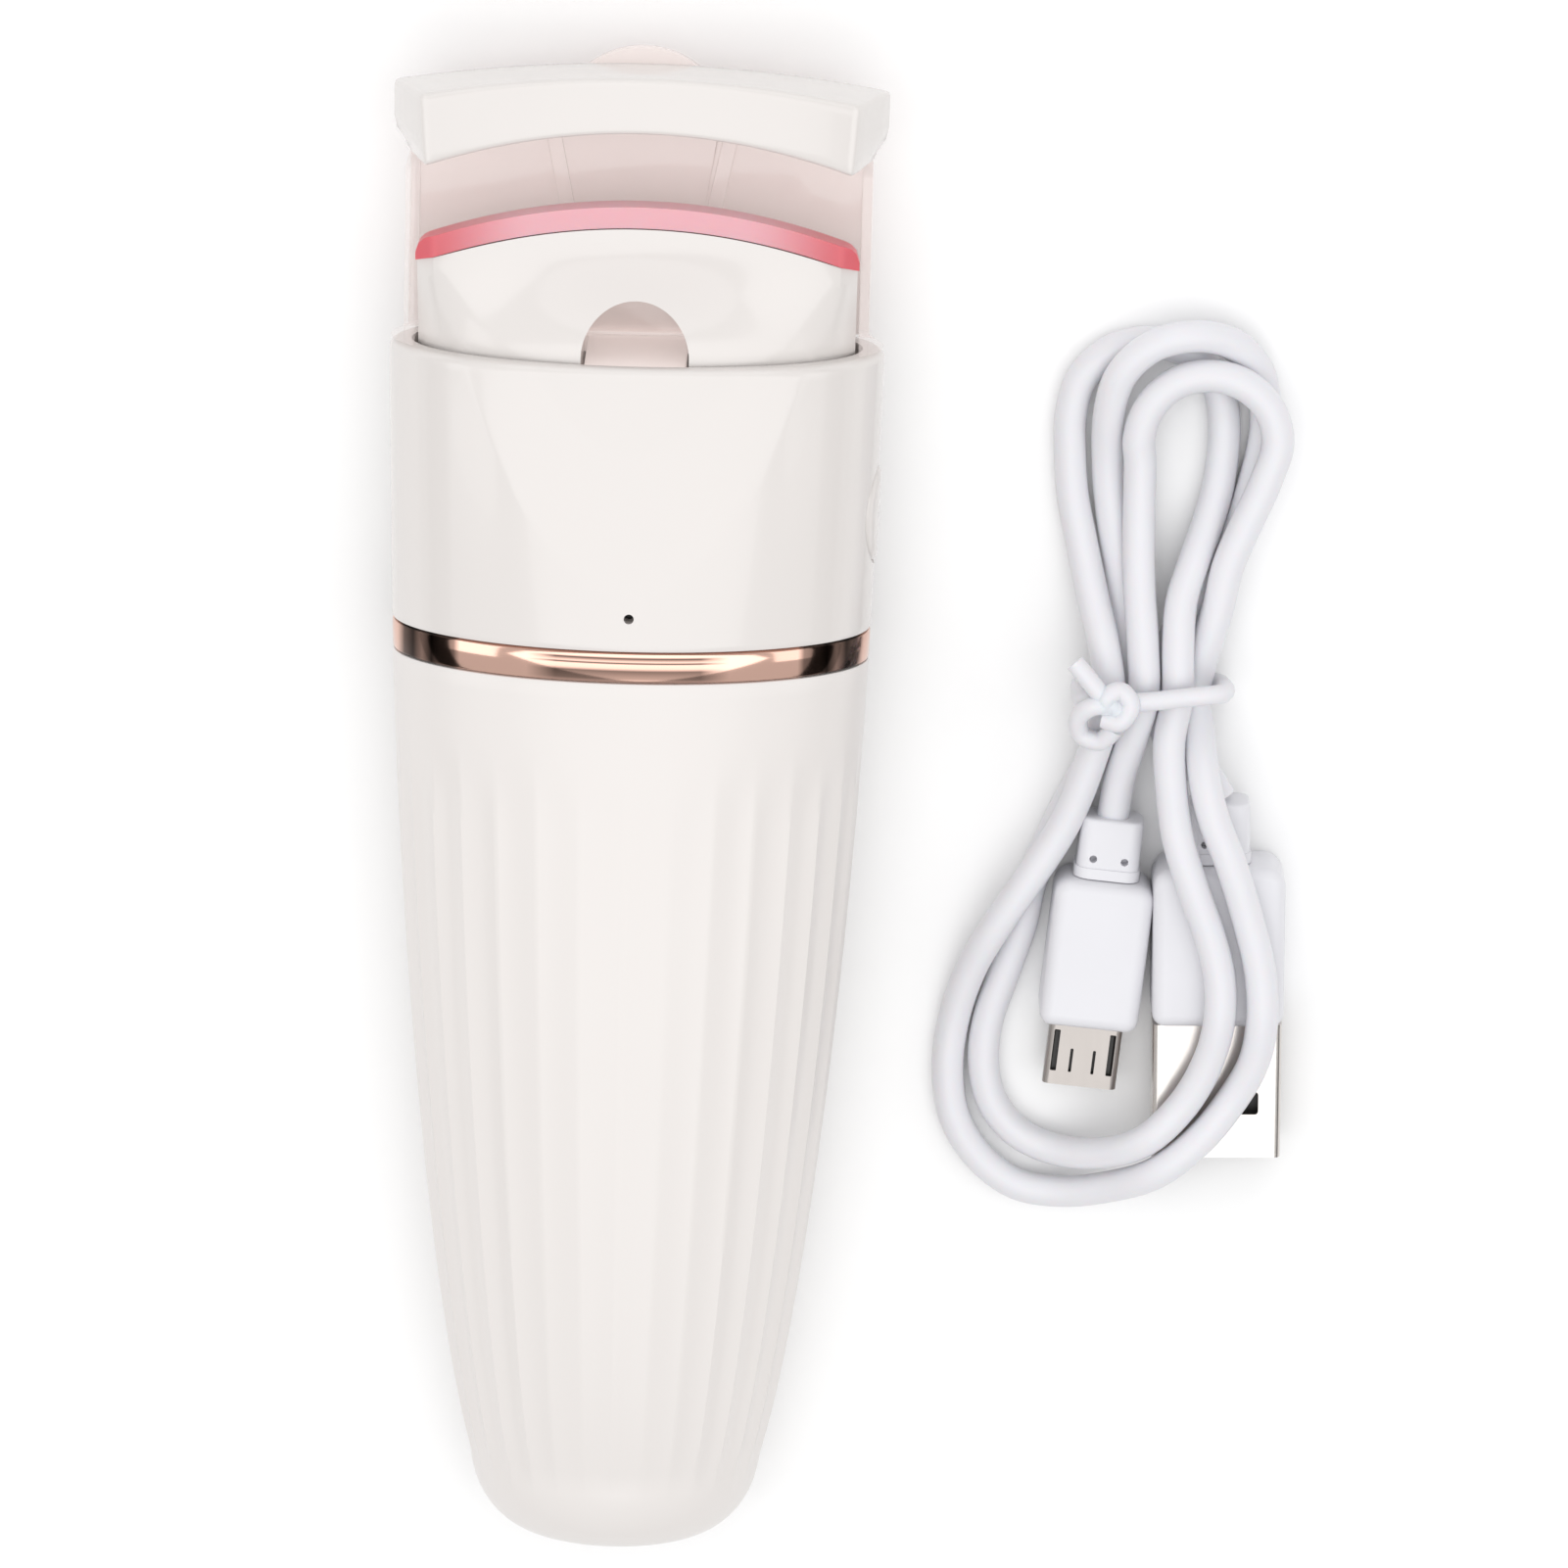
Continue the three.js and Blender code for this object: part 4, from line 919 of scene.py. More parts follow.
# The cord's centre line from the small plug to the large one, in metres.
ROUTE = (
    (0.0446, -0.0012, 0.0035), (0.0451, 0.003, 0.0038), (0.0461, 0.0072, 0.0041),
    (0.0469, 0.0112, 0.00425), (0.0467, 0.016, 0.0045), (0.0462, 0.0215, 0.0043),
    (0.046, 0.027, 0.0036), (0.0459, 0.0325, 0.0036), (0.0457, 0.0351, 0.004),
    (0.0467, 0.0382, 0.0044), (0.049, 0.0404, 0.00465), (0.052, 0.0411, 0.00475),
    (0.0551, 0.0403, 0.0048), (0.0574, 0.0381, 0.0047), (0.0583, 0.035, 0.00465),
    (0.0573, 0.0312, 0.00465), (0.0556, 0.027, 0.00465), (0.0542, 0.0232, 0.00455),
    (0.0534, 0.019, 0.00395), (0.0523, 0.0146, 0.0024), (0.0517, 0.0111, 0.00165),
    (0.0522, 0.0075, 0.0039), (0.0527, 0.004, 0.0074), (0.0536, 0.0006, 0.009),
    (0.0553, -0.0034, 0.0099), (0.057, -0.0084, 0.0098), (0.0584, -0.0136, 0.0098),
    (0.0588, -0.0182, 0.0099), (0.0583, -0.0226, 0.009), (0.0564, -0.0268, 0.0081),
    (0.0536, -0.0306, 0.0082), (0.0498, -0.034, 0.0079), (0.0456, -0.0366, 0.0046),
    (0.0412, -0.038, 0.0022), (0.037, -0.0376, 0.00155), (0.0334, -0.035, 0.00155),
    (0.031, -0.0312, 0.00155), (0.0302, -0.0266, 0.00155), (0.0306, -0.0216, 0.0016),
    (0.0319, -0.0166, 0.0026), (0.034, -0.012, 0.004), (0.037, -0.007, 0.0047),
    (0.0402, -0.0014, 0.0047), (0.0423, 0.0048, 0.0047), (0.04375, 0.0112, 0.0042),
    (0.0432, 0.0155, 0.004), (0.042, 0.02, 0.0032), (0.0409, 0.0246, 0.0022),
    (0.0399, 0.0292, 0.0016), (0.0395, 0.0338, 0.00155), (0.0395, 0.0364, 0.00155),
    (0.0404, 0.0399, 0.00155), (0.043, 0.0425, 0.00155), (0.0465, 0.0434, 0.00155),
    (0.05, 0.0425, 0.00155), (0.0526, 0.0399, 0.00155), (0.0535, 0.0364, 0.00155),
    (0.0533, 0.031, 0.0017), (0.0525, 0.0274, 0.00235), (0.0512, 0.0236, 0.00365),
    (0.0501, 0.02, 0.0045), (0.0499, 0.016, 0.0047), (0.05, 0.0113, 0.0044),
    (0.0494, 0.0072, 0.0054), (0.0497, 0.003, 0.0075), (0.0504, -0.0012, 0.0094),
    (0.0518, -0.0055, 0.0099), (0.0536, -0.0102, 0.0098), (0.0547, -0.0142, 0.0098),
    (0.0549, -0.0182, 0.0099), (0.0541, -0.0226, 0.009), (0.052, -0.0272, 0.0082),
    (0.0486, -0.0309, 0.0079), (0.0446, -0.0332, 0.005), (0.0404, -0.0338, 0.0024),
    (0.0368, -0.0324, 0.00155), (0.0344, -0.0294, 0.00155), (0.0335, -0.0256, 0.00155),
    (0.0338, -0.0215, 0.00155), (0.0352, -0.0168, 0.00155), (0.0366, -0.0122, 0.00155),
    (0.0375, -0.0076, 0.00155), (0.0395, -0.0026, 0.00155), (0.0418, 0.0024, 0.00155),
    (0.044, 0.007, 0.00155), (0.0453, 0.0112, 0.00155), (0.0456, 0.0155, 0.00155),
    (0.0447, 0.021, 0.00155), (0.0436, 0.027, 0.00155), (0.043, 0.032, 0.0016),
    (0.043, 0.0376, 0.0032), (0.044, 0.0411, 0.00425), (0.0466, 0.0437, 0.00475),
    (0.0501, 0.0447, 0.0047), (0.0537, 0.0439, 0.00345), (0.0563, 0.0412, 0.00205),
    (0.0572, 0.0376, 0.00155), (0.0572, 0.0346, 0.00155), (0.0563, 0.03, 0.00155),
    (0.0547, 0.0249, 0.00155), (0.0522, 0.021, 0.00155), (0.0501, 0.017, 0.00155),
    (0.049, 0.014, 0.00155), (0.0485, 0.0112, 0.00155), (0.0487, 0.009, 0.0017),
    (0.0495, 0.0066, 0.00165), (0.0512, 0.0046, 0.0022), (0.0532, 0.0031, 0.0035),
    (0.0544, 0.00125, 0.0039),
)
MICRO_PLUG = {
    "mouth": (44.6 * MM, -1.55 * MM, 3.5 * MM),
    "turn": -5,
    "wide": 9.2 * MM,
    "thick": 6.9 * MM,
}
USB_PLUG = {
    "mouth": (54.4 * MM, 0.4 * MM, 3.9 * MM),
    "turn": 1.5,
    "wide": 12.2 * MM,
    "thick": 7.6 * MM,
}
COLLAR_LONG, COLLAR_LIP, COLLAR_BRIM = 5 * MM, 0.7 * MM, 0.15 * MM


def lifted(point):
    """The strands climb over the part of the tie that passes under them."""
    x, y, z = point
    return Vector((x, y, z + LIFT * math.exp(-(((y - LIFT_AT) / LIFT_SPAN) ** 2))))


def centripetal(points, steps):
    """Close points on the smooth curve through the given ones."""
    ends = [points[0] * 2 - points[1], *points, points[-1] * 2 - points[-2]]
    made = []
    for p0, p1, p2, p3 in zip(ends, ends[1:], ends[2:], ends[3:]):
        t0 = 0
        t1 = t0 + math.sqrt((p1 - p0).length)
        t2 = t1 + math.sqrt((p2 - p1).length)
        t3 = t2 + math.sqrt((p3 - p2).length)
        for i in range(steps):
            t = mix(t1, t2, i / steps)
            a1 = p0 * ((t1 - t) / (t1 - t0)) + p1 * ((t - t0) / (t1 - t0))
            a2 = p1 * ((t2 - t) / (t2 - t1)) + p2 * ((t - t1) / (t2 - t1))
            a3 = p2 * ((t3 - t) / (t3 - t2)) + p3 * ((t - t2) / (t3 - t2))
            b1 = a1 * ((t2 - t) / (t2 - t0)) + a2 * ((t - t0) / (t2 - t0))
            b2 = a2 * ((t3 - t) / (t3 - t1)) + a3 * ((t - t1) / (t3 - t1))
            made.append(b1 * ((t2 - t) / (t2 - t1)) + b2 * ((t - t1) / (t2 - t1)))
    return [*made, points[-1]]


def strand(name, points, radius, sides=5, closed=False):
    """A round strand on one spline."""
    data = bpy.data.curves.new(name, "CURVE")
    data.dimensions = "3D"
    data.bevel_depth, data.bevel_resolution = radius, sides
    data.use_fill_caps = True
    spline = data.splines.new("POLY")
    spline.points.add(len(points) - 1)
    for knot, place in zip(spline.points, points):
        knot.co = (*place, 1)
    spline.use_cyclic_u = closed
    spline.use_smooth = True
    piece = bpy.data.objects.new(name, data)
    bpy.context.scene.collection.objects.link(piece)
    return piece


def as_mesh(piece):
    only(piece)
    bpy.ops.object.convert(target="MESH")
    return bpy.context.object


def merged(name, pieces):
    """Several meshes as one piece."""
    deselect()
    for piece in pieces:
        piece.select_set(True)
    bpy.context.view_layer.objects.active = pieces[0]
    bpy.ops.object.join()
    joined = bpy.context.object
    joined.name = name
    return joined


def seated(piece, plug):
    """Moves a plug part, drawn at the relief's mouth and pointing along -Y, to its place."""
    piece.location = plug["mouth"]
    piece.rotation_euler = (0, 0, math.radians(plug["turn"]))
    settle(piece)
    return piece


def plug_relief(name, plug, wide, thick):
    """The short collar where the cord enters a plug, with two small windows in its front."""
    half, deep, long = wide / 2, thick / 2, COLLAR_LONG
    piece = bar(name, (-half, -long, -deep), (half, COLLAR_LIP, deep), 1.2 * MM, 5)
    rounded_edges(piece, lambda edge: sharp(edge, 50), 0.35 * MM, 3)
    out_x, out_z = half + COLLAR_BRIM, deep + COLLAR_BRIM
    foot = bar("brim", (-out_x, -long, -out_z), (out_x, -long + 1 * MM, out_z), 1.4 * MM, 5)
    combine(piece, foot, "UNION")
    for side in (-1, 1):
        window = drum("window", (side * wide * 0.25, -long * 0.62, deep), 0.36 * MM, 2.4 * MM, 20)
        combine(piece, window)
    smooth_shade(piece, 40)
    return seated(piece, plug)


def plug_grip(name, plug, start, end, shoulder):
    """The moulded grip, wide-shouldered where the strain relief joins it."""
    half, deep = plug["wide"] / 2, plug["thick"] / 2
    piece = bar(name, (-half, -end, -deep), (half, -start, deep), 0)
    middle = -(start + end) / 2

    def upright(edge, back):
        a, b = (v.co for v in edge.verts)
        return abs(a.z - b.z) > deep and (a.y > middle) == back

    rounded_edges(piece, lambda edge: upright(edge, True), shoulder, 8)
    rounded_edges(piece, lambda edge: upright(edge, False), 1.2 * MM, 5)
    rounded_edges(piece, lambda edge: sharp(edge, 60), 1.3 * MM, 5)
    smooth_shade(piece, 35)
    return seated(piece, plug)


def plug_shell(name, size, wall, start, end):
    """A folded steel shell, open at its end."""
    half, deep = size[0] / 2, size[1] / 2
    piece = bar(name, (-half, -end, -deep), (half, -start, deep), 0.6 * MM, 4)
    half, deep = half - wall, deep - wall
    hollow = bar("hollow", (-half, -end - 1 * MM, -deep), (half, -start - 1 * MM, deep), 0.4 * MM)
    combine(piece, hollow)
    return piece


# Centre lines of the tie's knot and its two free ends, in millimetres.
TIE_ENDS = {
    "tie_knot": (
        (43.2, 9.9, 9.5), (44.6, 9.7, 10), (45.6, 11.3, 9.8),
        (44.6, 12.6, 9.7), (43.4, 12, 10), (43.3, 10.8, 9.7),
    ),
    "tie_tail": ((44.6, 10.6, 9.6), (43.4, 11.6, 9.8), (42, 13.2, 9.5), (40.4, 15, 9.1)),
    "tie_curl": (
        (44.4, 11, 9.6), (42.4, 11.2, 9.9), (41, 10, 9.1),
        (41.3, 8, 8.2), (43, 7.5, 8.4), (44.3, 9, 9.2),
    ),
}


class CURLER_OT_lead(bpy.types.Operator):
    """Charging cord, its knotted tie and both plugs"""

    bl_idname = "curler.lead"
    bl_label = "Charging lead"

    def execute(self, context):
        size = sizes("curler_lead")
        line = centripetal([lifted(point) for point in ROUTE], 5)
        cord = strand("charging_cord", line, size.cord_diameter / 2)
        tie = self.tie(size.tie_diameter / 2)
        plugs = self.micro() + self.usb()
        shown(cord, lead_jacket(), "charging_lead", "lead_white", "lead_cord")
        shown(tie, lead_jacket(), "charging_lead", "lead_white", "lead_tie")
        long = sum((b - a).length for a, b in zip(line, line[1:]))
        tuple(line[0])
        return {"FINISHED"}

    def tie(self, radius):
        middle_x, middle_z = 47.75 * MM, 4.9 * MM
        half_width, half_height, roundness = 6.6 * MM, 4 * MM, 0.35
        loop, steps = [], 72
        for i in range(steps):
            angle = 2 * math.pi * i / steps
            c, s = math.cos(angle), math.sin(angle)
            x = middle_x + half_width * math.copysign(abs(c) ** roundness, c)
            z = middle_z + half_height * math.copysign(abs(s) ** roundness, s)
            rise = 1.0 * MM * smooth(44 * MM, 54 * MM, x)
            loop.append(Vector((x, LIFT_AT + rise * (1 if s > 0 else 0.3), z)))
        ring = strand("tie_ring", loop, radius, 4, True)
        parts = [ring]
        for name, points in TIE_ENDS.items():
            close = centripetal([Vector(p) * MM for p in points], 6)
            parts.append(strand(name, close, radius, 4))
        tie = merged("lead_tie_cord", [as_mesh(part) for part in parts])
        smooth_shade(tie, 50)
        return tie

    def micro(self):
        plug = MICRO_PLUG
        relief = plug_relief("micro_collar", plug, 5.8 * MM, 4.6 * MM)
        grip = plug_grip("micro_body", plug, 5.1 * MM, 19.3 * MM, 1.6 * MM)
        outside = (6.85 * MM, 1.8 * MM)
        shell = plug_shell("micro_steel", outside, 0.3 * MM, 19.4 * MM, 25.5 * MM)
        for x, low, high, wide in ((2.6, 20.2, 24.2, 0.28), (1.05, 21.9, 24.2, 0.14)):
            for side in (-1, 1):
                middle = side * x * MM
                left, right = middle - wide * MM, middle + wide * MM
                corners = (left, -high * MM, 0), (right, -low * MM, 2 * MM)
                combine(shell, bar("slot", *corners, 0.1 * MM, 3, "Z"))
        smooth_shade(shell, 30)
        seated(shell, plug)
        shown(relief, moulded_plug(), "charging_lead", "lead_white", "micro_relief")
        shown(grip, moulded_plug(), "charging_lead", "lead_white", "micro_grip")
        shown(shell, tinned_steel(), "charging_lead", "steel", "micro_shell")
        return [relief, grip, shell]

    def usb(self):
        plug = USB_PLUG
        relief = plug_relief("usb_collar", plug, 5.6 * MM, 4.8 * MM)
        grip = plug_grip("usb_body", plug, 5.1 * MM, 20.4 * MM, 1.9 * MM)
        shell = plug_shell("usb_steel", (12 * MM, 4.5 * MM), 0.35 * MM, 20.5 * MM, 33.4 * MM)
        for side in (-1, 1):
            x = side * 2.9 * MM
            corners = (x - 1 * MM, -29.2 * MM, 0), (x + 1 * MM, -27 * MM, 4 * MM)
            combine(shell, bar("window", *corners, 0.3 * MM, 3, "Z"))
        smooth_shade(shell, 30)
        seated(shell, plug)
        shown(relief, moulded_plug(), "charging_lead", "lead_white", "usb_relief")
        shown(grip, moulded_plug(), "charging_lead", "lead_white", "usb_grip")
        shown(shell, bright_steel(), "charging_lead", "steel", "usb_shell")
        return [relief, grip, shell]


# ---------------------------------------------------------------- shells
class CURLER_OT_handle(bpy.types.Operator):
    """Fluted handle sleeve with its charging port"""

    bl_idname = "curler.handle"
    bl_label = "Handle sleeve"

    def execute(self, context):
        form, size = Form(), sizes("curler_body")
        wall, top = size.handle_wall, HANDLE_LENGTH
        curve, steps = foot_curve(), 14
        foot = [bezier(curve, i / steps)[1] for i in range(steps + 1)]
        outer = [(station, 0) for station in foot + even(9 * MM, top - 0.25 * MM, 56)]
        lip = [(top - 0.05 * MM, 0.08 * MM), (top, 0.25 * MM), (top, wall)]
        inner = [(station, wall) for station in even(top - 6 * MM, 8 * MM, 6)]
        floor = [(5 * MM, wall), (2.2 * MM, wall + 1.5 * MM), (2.2 * MM, None)]
        rings = [(0, None), *outer, *lip, *inner, *floor]
        sides = size.flute_count * 12

        def place(ring, angle):
            station, depth = ring
            carved = form.flute(station, angle) if depth == 0 else 0
            return form.point(station, depth, angle, carved)

        sleeve = ringed("handle_sleeve_skin", rings, sides, place)
        socket_low, socket_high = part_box("charging_socket")
        room = Vector((GAP, 0, GAP))
        port = bar(
            "port",
            socket_low - room - Vector((0, 2 * MM, 0)),
            Vector((socket_high.x, FOOT_Y + 3 * MM, socket_high.z)) + room,
            0.8 * MM,
            5,
        )
        combine(sleeve, port)
        smooth_shade(sleeve, 28)
        shown(sleeve, satin_handle(), "housing", "white_shell", "handle_sleeve")
        return {"FINISHED"}


class CURLER_OT_trim_ring(bpy.types.Operator):
    """Polished rose gold ring between the handle and the shell"""

    bl_idname = "curler.trim_ring"
    bl_label = "Trim ring"

    def execute(self, context):
        form, wall = Form(), sizes("curler_body").shell_wall
        low, high = (p.y - FOOT_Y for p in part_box("trim_ring"))
        bevel = 0.22 * MM
        rings = [
            (low, wall),
            (low, bevel),
            (low + bevel * 0.3, bevel * 0.3),
            (low + bevel, 0),
            (high - bevel, 0),
            (high - bevel * 0.3, bevel * 0.3),
            (high, bevel),
            (high, wall),
            (low, wall),
        ]
        ring = ringed("trim_ring_polished", rings, 256, lambda at, angle: form.point(*at, angle))
        smooth_shade(ring, 40)
        shown(ring, polished_rose_gold(), "housing", "rose_gold", "trim_ring")
        return {"FINISHED"}


class CURLER_OT_shell(bpy.types.Operator):
    """Upper shell with its thumb dish, and the power button"""

    bl_idname = "curler.shell"
    bl_label = "Upper shell and button"

    def execute(self, context):
        form, size = Form(), sizes("curler_body")
        wall, curve = size.shell_wall, size.rim_round
        bottom, edge = SHELL_BOTTOM, 0.25 * MM
        rim = [
            (RIM - curve + curve * math.sin(turn), curve - curve * math.cos(turn))
            for turn in even(0, math.pi / 2, 6)
        ]
        outer = [(bottom, edge), (bottom + edge * 0.3, edge * 0.3)]
        outer += [(station, 0) for station in even(bottom + edge, RIM - curve - 0.4 * MM, 70)]
        inner = [(station, wall) for station in even(RIM, bottom, 8)]
        rings = [*outer, *rim, *inner, outer[0]]

        def place(ring, angle):
            station, depth = ring
            front = math.cos(angle) if depth < wall else 0
            x = form.half_width(station) * math.sin(angle)
            scoop = form.dish(x, station) * front if front > 0 else 0
            return form.point(station, depth, angle, scoop)

        shell = ringed("upper_shell_skin", rings, 360, place)
        pin_low, pin_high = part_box("light_pipe")
        pin = (pin_low + pin_high) / 2
        pinhole = drum("pinhole", (0, pin.y, pin_high.z + 2 * MM), size.pinhole_radius, 6 * MM, 32)
        combine(shell, pinhole)
        low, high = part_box("power_button")
        hole = self.oval("button_hole", low, high, GAP * 0.7)
        combine(shell, hole)
        smooth_shade(shell, 28)
        shown(shell, glossy_shell(), "housing", "white_shell", "upper_shell")
        self.button(form, low, high)
        return {"FINISHED"}

    def oval(self, name, low, high, grow):
        """An oval body through the side wall, for the button's hole."""
        centre = (low + high) / 2
        body = drum(name, centre, 1, 12 * MM, 72, "X")
        edit(body)
        bpy.ops.mesh.select_all(action="SELECT")
        half = (high - low) / 2
        bpy.ops.transform.resize(value=(1, half.y + grow, half.z + grow), center_override=centre)
        leave()
        return body

    def button(self, form, low, high):
        centre, half = (low + high) / 2, (high - low) / 2
        rings = [(0, 0), (1, 0), (1, 0.8), (0.985, 0.9), (0.94, 0.96)]
        rings += [(0.85, 1), (0.6, 1), (0.3, 1), (0, 1)]
        proud = 0.24 * MM

        def place(ring, angle):
            reach, out = ring
            y = centre.y + half.y * reach * math.cos(angle)
            z = centre.z + half.z * reach * math.sin(angle)
            station = y - FOOT_Y
            drop = (z - form.centre_z(station)) / form.half_depth(station)
            skin = form.half_width(station) * math.sqrt(1 - drop**2)
            return Vector((mix(low.x, skin + proud, out), y, z))

        button = ringed("power_button_cap", rings, 96, place)
        smooth_shade(button, 40)
        shown(button, glossy_shell(), "button", "white_shell", "power_button")


# ---------------------------------------------------------------- head
LEG_RADIUS, LEG_LENGTH = 1.8 * MM, 16 * MM
ARCH_REACH = 20 * MM  # how far the arch's cut goes on below its round


def arch_drop(x):
    return sizes("curler_head").jaw_arch * (x / CARRIAGE_HALF) ** 2


def plate_depth(x):
    head = sizes("curler_head")
    return mix(head.plate_centre, head.plate_end, min((x / CARRIAGE_HALF) ** 2, 1))


class CURLER_OT_hood(bpy.types.Operator):
    """Clear hood that carries the upper jaw"""

    bl_idname = "curler.hood"
    bl_label = "Clear hood"

    def execute(self, context):
        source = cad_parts["hood_frame"]
        hood = bpy.data.objects.new("clear_hood", source.data.copy())
        context.scene.collection.objects.link(hood)
        edit(hood)
        bpy.ops.mesh.select_all(action="SELECT")
        bpy.ops.mesh.remove_doubles(threshold=2e-6)
        bpy.ops.mesh.select_all(action="SELECT")
        bpy.ops.mesh.dissolve_limited(angle_limit=math.radians(1))
        leave()
        corner = math.radians(50)
        apply_modifier(
            hood, "BEVEL", width=0.12 * MM, segments=2, limit_method="ANGLE", angle_limit=corner
        )
        smooth_shade(hood, 35)
        shown(hood, clear_plastic(), "housing", "clear_hood", "hood_frame")
        return {"FINISHED"}


class CURLER_OT_jaws(bpy.types.Operator):
    """Upper jaw, sliding carriage and silicone pad"""

    bl_idname = "curler.jaws"
    bl_label = "Jaws and carriage"

    def execute(self, context):
        size = sizes("curler_body")
        self.middle = size.rim_half_depth - size.back_flat
        self.upper()
        self.carriage()
        self.pad()
        return {"FINISHED"}

    def upper(self):
        low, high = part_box("upper_jaw")
        crown = high.y - 5 * MM
        outer = sizes("curler_body").rim_half_width - 0.05 * MM
        front_half = CARRIAGE_HALF - 0.25 * MM
        foot_half = CARRIAGE_HALF + 1.15 * MM

        def place(side, up, deep):
            rear = mix(foot_half, outer, smooth(0, 0.45, up))
            front = mix(front_half - 0.4 * MM, front_half, up)
            x = side * mix(rear, front, deep)
            roof = high.y - 1.3 * MM * side**2
            y = mix(crown - arch_drop(min(abs(x), front_half)), roof, up)
            back = mix(-4.1 * MM, -0.5 * MM, side**2)
            return Vector((x, y, self.middle + mix(back, plate_depth(x), deep)))

        jaw = formed("upper_jaw_bar", even(-1, 1, 60), even(0, 1, 6), even(0, 1, 3), place)
        rounded_edges(jaw, lambda edge: sharp(edge, 38), 0.5 * MM, 4)
        smooth_shade(jaw, 32)
        shown(jaw, glossy_shell(), "housing", "white_shell", "upper_jaw")

    def carriage(self):
        form, size = Form(), sizes("curler_body")
        half, facet = CARRIAGE_HALF, sizes("curler_head").end_facet
        flat = half - facet
        columns = [-half, -half + facet / 2, *even(-flat, flat, 64), half - facet / 2, half]
        back, bulge = 3.6 * MM, size.rim_half_depth - size.shell_wall - 0.4 * MM
        plate_bottom = RIM - sizes("curler_head").carriage_sink

        def place(x, up, deep):
            station = mix(plate_bottom, CARRIAGE_TOP - arch_drop(x), up)
            convex = bulge * math.sqrt(max(1 - (x / (half + 0.65 * MM)) ** 2, 0))
            slant = max(abs(x) - flat, 0)
            face = mix(convex, plate_depth(x) - slant, smooth(RIM, CARRIAGE_TOP, station))
            z = face if deep else -back
            hidden = RIM + GAP
            if station < hidden:
                depth = size.shell_wall + 0.4 * MM
                reach = 1 - (x / (form.half_width(station) - depth)) ** 2
                room = (form.half_depth(station) - depth) * math.sqrt(max(reach, 0))
                z = min(max(z, -room), room)
            return Vector((x, FOOT_Y + station, self.middle + z))

        carriage = formed("sliding_carriage", columns, even(0, 1, 26), [0, 1], place)
        self.arch(carriage)
        for leg in ("left", "right"):
            low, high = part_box(f"foot_screw_{leg}")
            centre = (low + high) / 2
            bottom = node_low("carriage").y
            middle = (centre.x, bottom + LEG_LENGTH / 2, centre.z)
            rod = drum("leg", middle, LEG_RADIUS, LEG_LENGTH, 32, "Y")
            combine(carriage, rod, "UNION")
        smooth_shade(carriage, 30)
        shown(carriage, glossy_shell(), "carriage", "white_shell", "carriage")

    def arch(self, carriage):
        """Cuts the thumb arch."""
        radius = sizes("curler_head").arch_radius
        top = RIM_Y + sizes("curler_head").arch_rise
        cutter = drum("arch_cut", (0, top - radius, self.middle), radius, 40 * MM, 96)
        edit(cutter)
        pick(cutter, "verts", lambda vert: vert.co.y < top - radius - 1e-5)
        bpy.ops.transform.translate(value=(0, -ARCH_REACH, 0))
        leave()
        combine(carriage, cutter)

    def pad(self):
        head = sizes("curler_head")
        half = node_high("lash_pad").x
        low_gap, corner = 0.1 * MM, 1.2 * MM
        columns = [-half, *even(0.3 * MM - half, half - 0.3 * MM, 90), half]
        heights = [0, 0.08, 0.2, 0.5, 0.8, 0.92, 1]

        def place(x, up, deep):
            past = max(abs(x) - half + corner, 0)
            rounding = corner - math.sqrt(max(corner**2 - past**2, 0))
            bottom = CARRIAGE_TOP - arch_drop(x)
            y = bottom + mix(low_gap, head.pad_height - rounding, up)
            slant = max(abs(x) - CARRIAGE_HALF + head.end_facet, 0)
            z = plate_depth(x) + mix(-head.pad_depth, -slant, deep)
            return Vector((x, FOOT_Y + y, self.middle + z))

        pad = formed("silicone_pad", columns, heights, even(0, 1, 5), place)
        rounded_edges(pad, lambda edge: sharp(edge, 55), 0.3 * MM, 3)
        smooth_shade(pad, 45)
        shown(pad, pink_silicone(), "carriage", "pink_pad", "lash_pad")


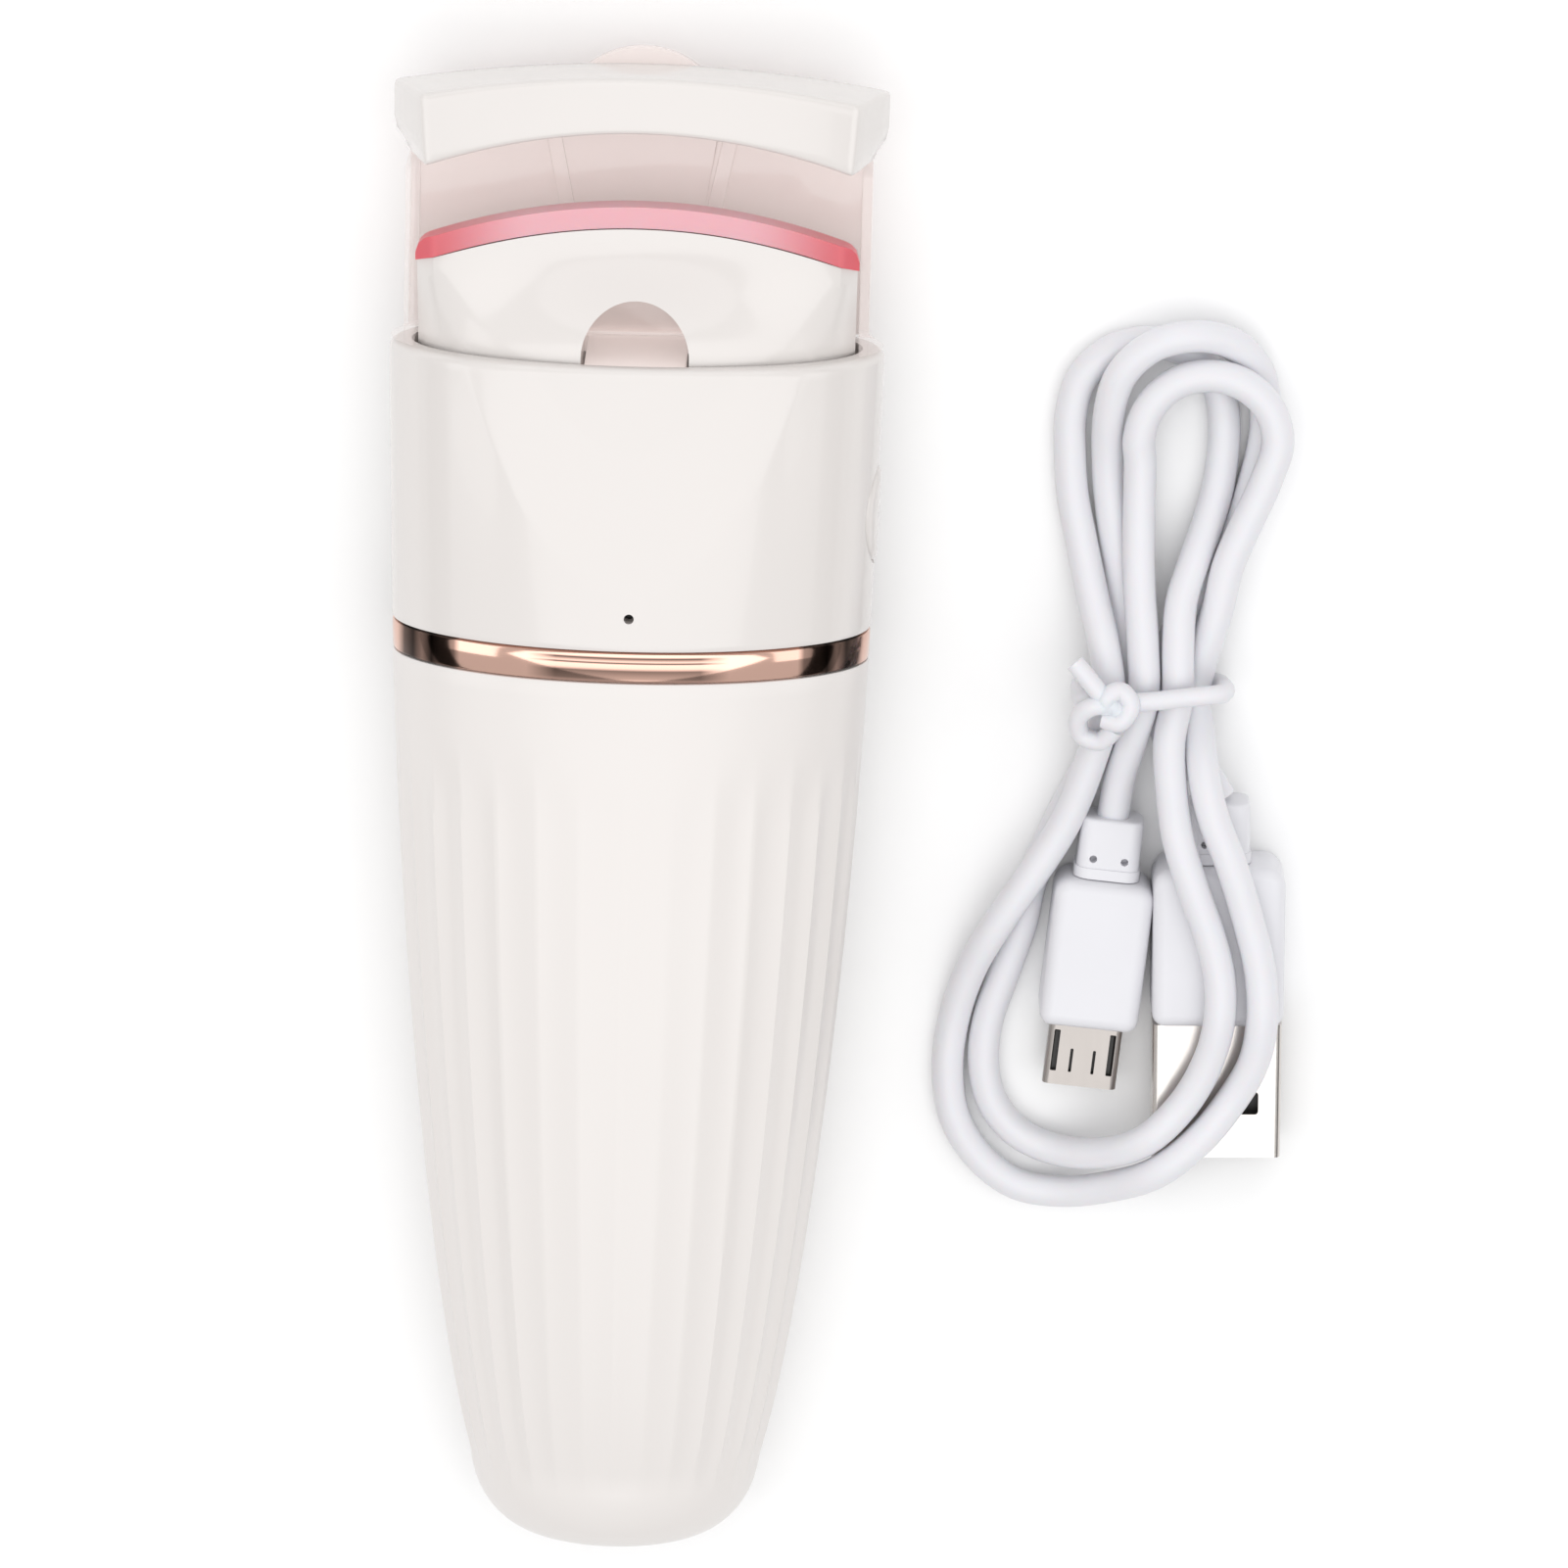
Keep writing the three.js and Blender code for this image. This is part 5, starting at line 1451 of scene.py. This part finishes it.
# ---------------------------------------------------------------- inside
INSIDE = {
    grey_moulding: (
        "guide_plate",
        "tray",
        "switch_plunger",
        "spring_cup_left",
        "spring_cup_right",
    ),
    # The light pipe takes the black moulding as painted shade, for the dark of the unlit pinhole in
    # front of it.
    dark_moulding: ("light_pipe", "tact_switch", "socket_tongue", "micro_insert", "usb_insert"),
    bright_steel: (
        "heater_plate",
        "charging_socket",
        "return_spring_left",
        "return_spring_right",
        "foot_screw_left",
        "foot_screw_right",
        "board_screw_left",
        "board_screw_right",
    ),
    solder_mask: ("main_board", "socket_board"),
    foil_wrap: ("battery_cell",),
    warm_lamp: ("indicator_led",),
}


class CURLER_OT_inside(bpy.types.Operator):
    """Finishes of the parts inside the housing"""

    bl_idname = "curler.inside"
    bl_label = "Parts inside"

    def execute(self, context):
        for finish, names in INSIDE.items():
            for name in names:
                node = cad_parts[name]
                if not node.material_slots:
                    node.data.materials.append(None)
                for slot in node.material_slots:
                    slot.material = finish()
        return {"FINISHED"}


# ---------------------------------------------------------------- panel and run
class CURLER_PT_build(bpy.types.Panel):
    """Steps and sizes of the curler"""

    bl_idname = "CURLER_PT_build"
    bl_label = "Eyelash curler"
    bl_space_type = "VIEW_3D"
    bl_region_type = "UI"
    bl_category = "Curler"

    def draw(self, context):
        for name, group in GROUPS.items():
            box = self.layout.box()
            box.label(text=group.__doc__)
            for key in group.__annotations__:
                box.prop(getattr(context.scene, name), key)
        for step in STEPS:
            self.layout.operator(step.bl_idname)


STEPS = (
    CURLER_OT_stage,
    CURLER_OT_lead,
    CURLER_OT_handle,
    CURLER_OT_trim_ring,
    CURLER_OT_shell,
    CURLER_OT_hood,
    CURLER_OT_jaws,
    CURLER_OT_inside,
)
CLASSES = (*GROUPS.values(), *STEPS, CURLER_PT_build)


def register():
    for cls in CLASSES:
        bpy.utils.register_class(cls)
    for name, group in GROUPS.items():
        setattr(bpy.types.Scene, name, PointerProperty(type=group))


def unregister():
    for name in GROUPS:
        delattr(bpy.types.Scene, name)
    for cls in reversed(CLASSES):
        bpy.utils.unregister_class(cls)


def main():
    register()
    bpy.ops.curler.stage()
    bpy.ops.curler.lead()
    bpy.ops.curler.handle()
    bpy.ops.curler.trim_ring()
    bpy.ops.curler.shell()
    bpy.ops.curler.hood()
    bpy.ops.curler.jaws()
    bpy.ops.curler.inside()
    deselect()


if __name__ == "__main__":
    main()
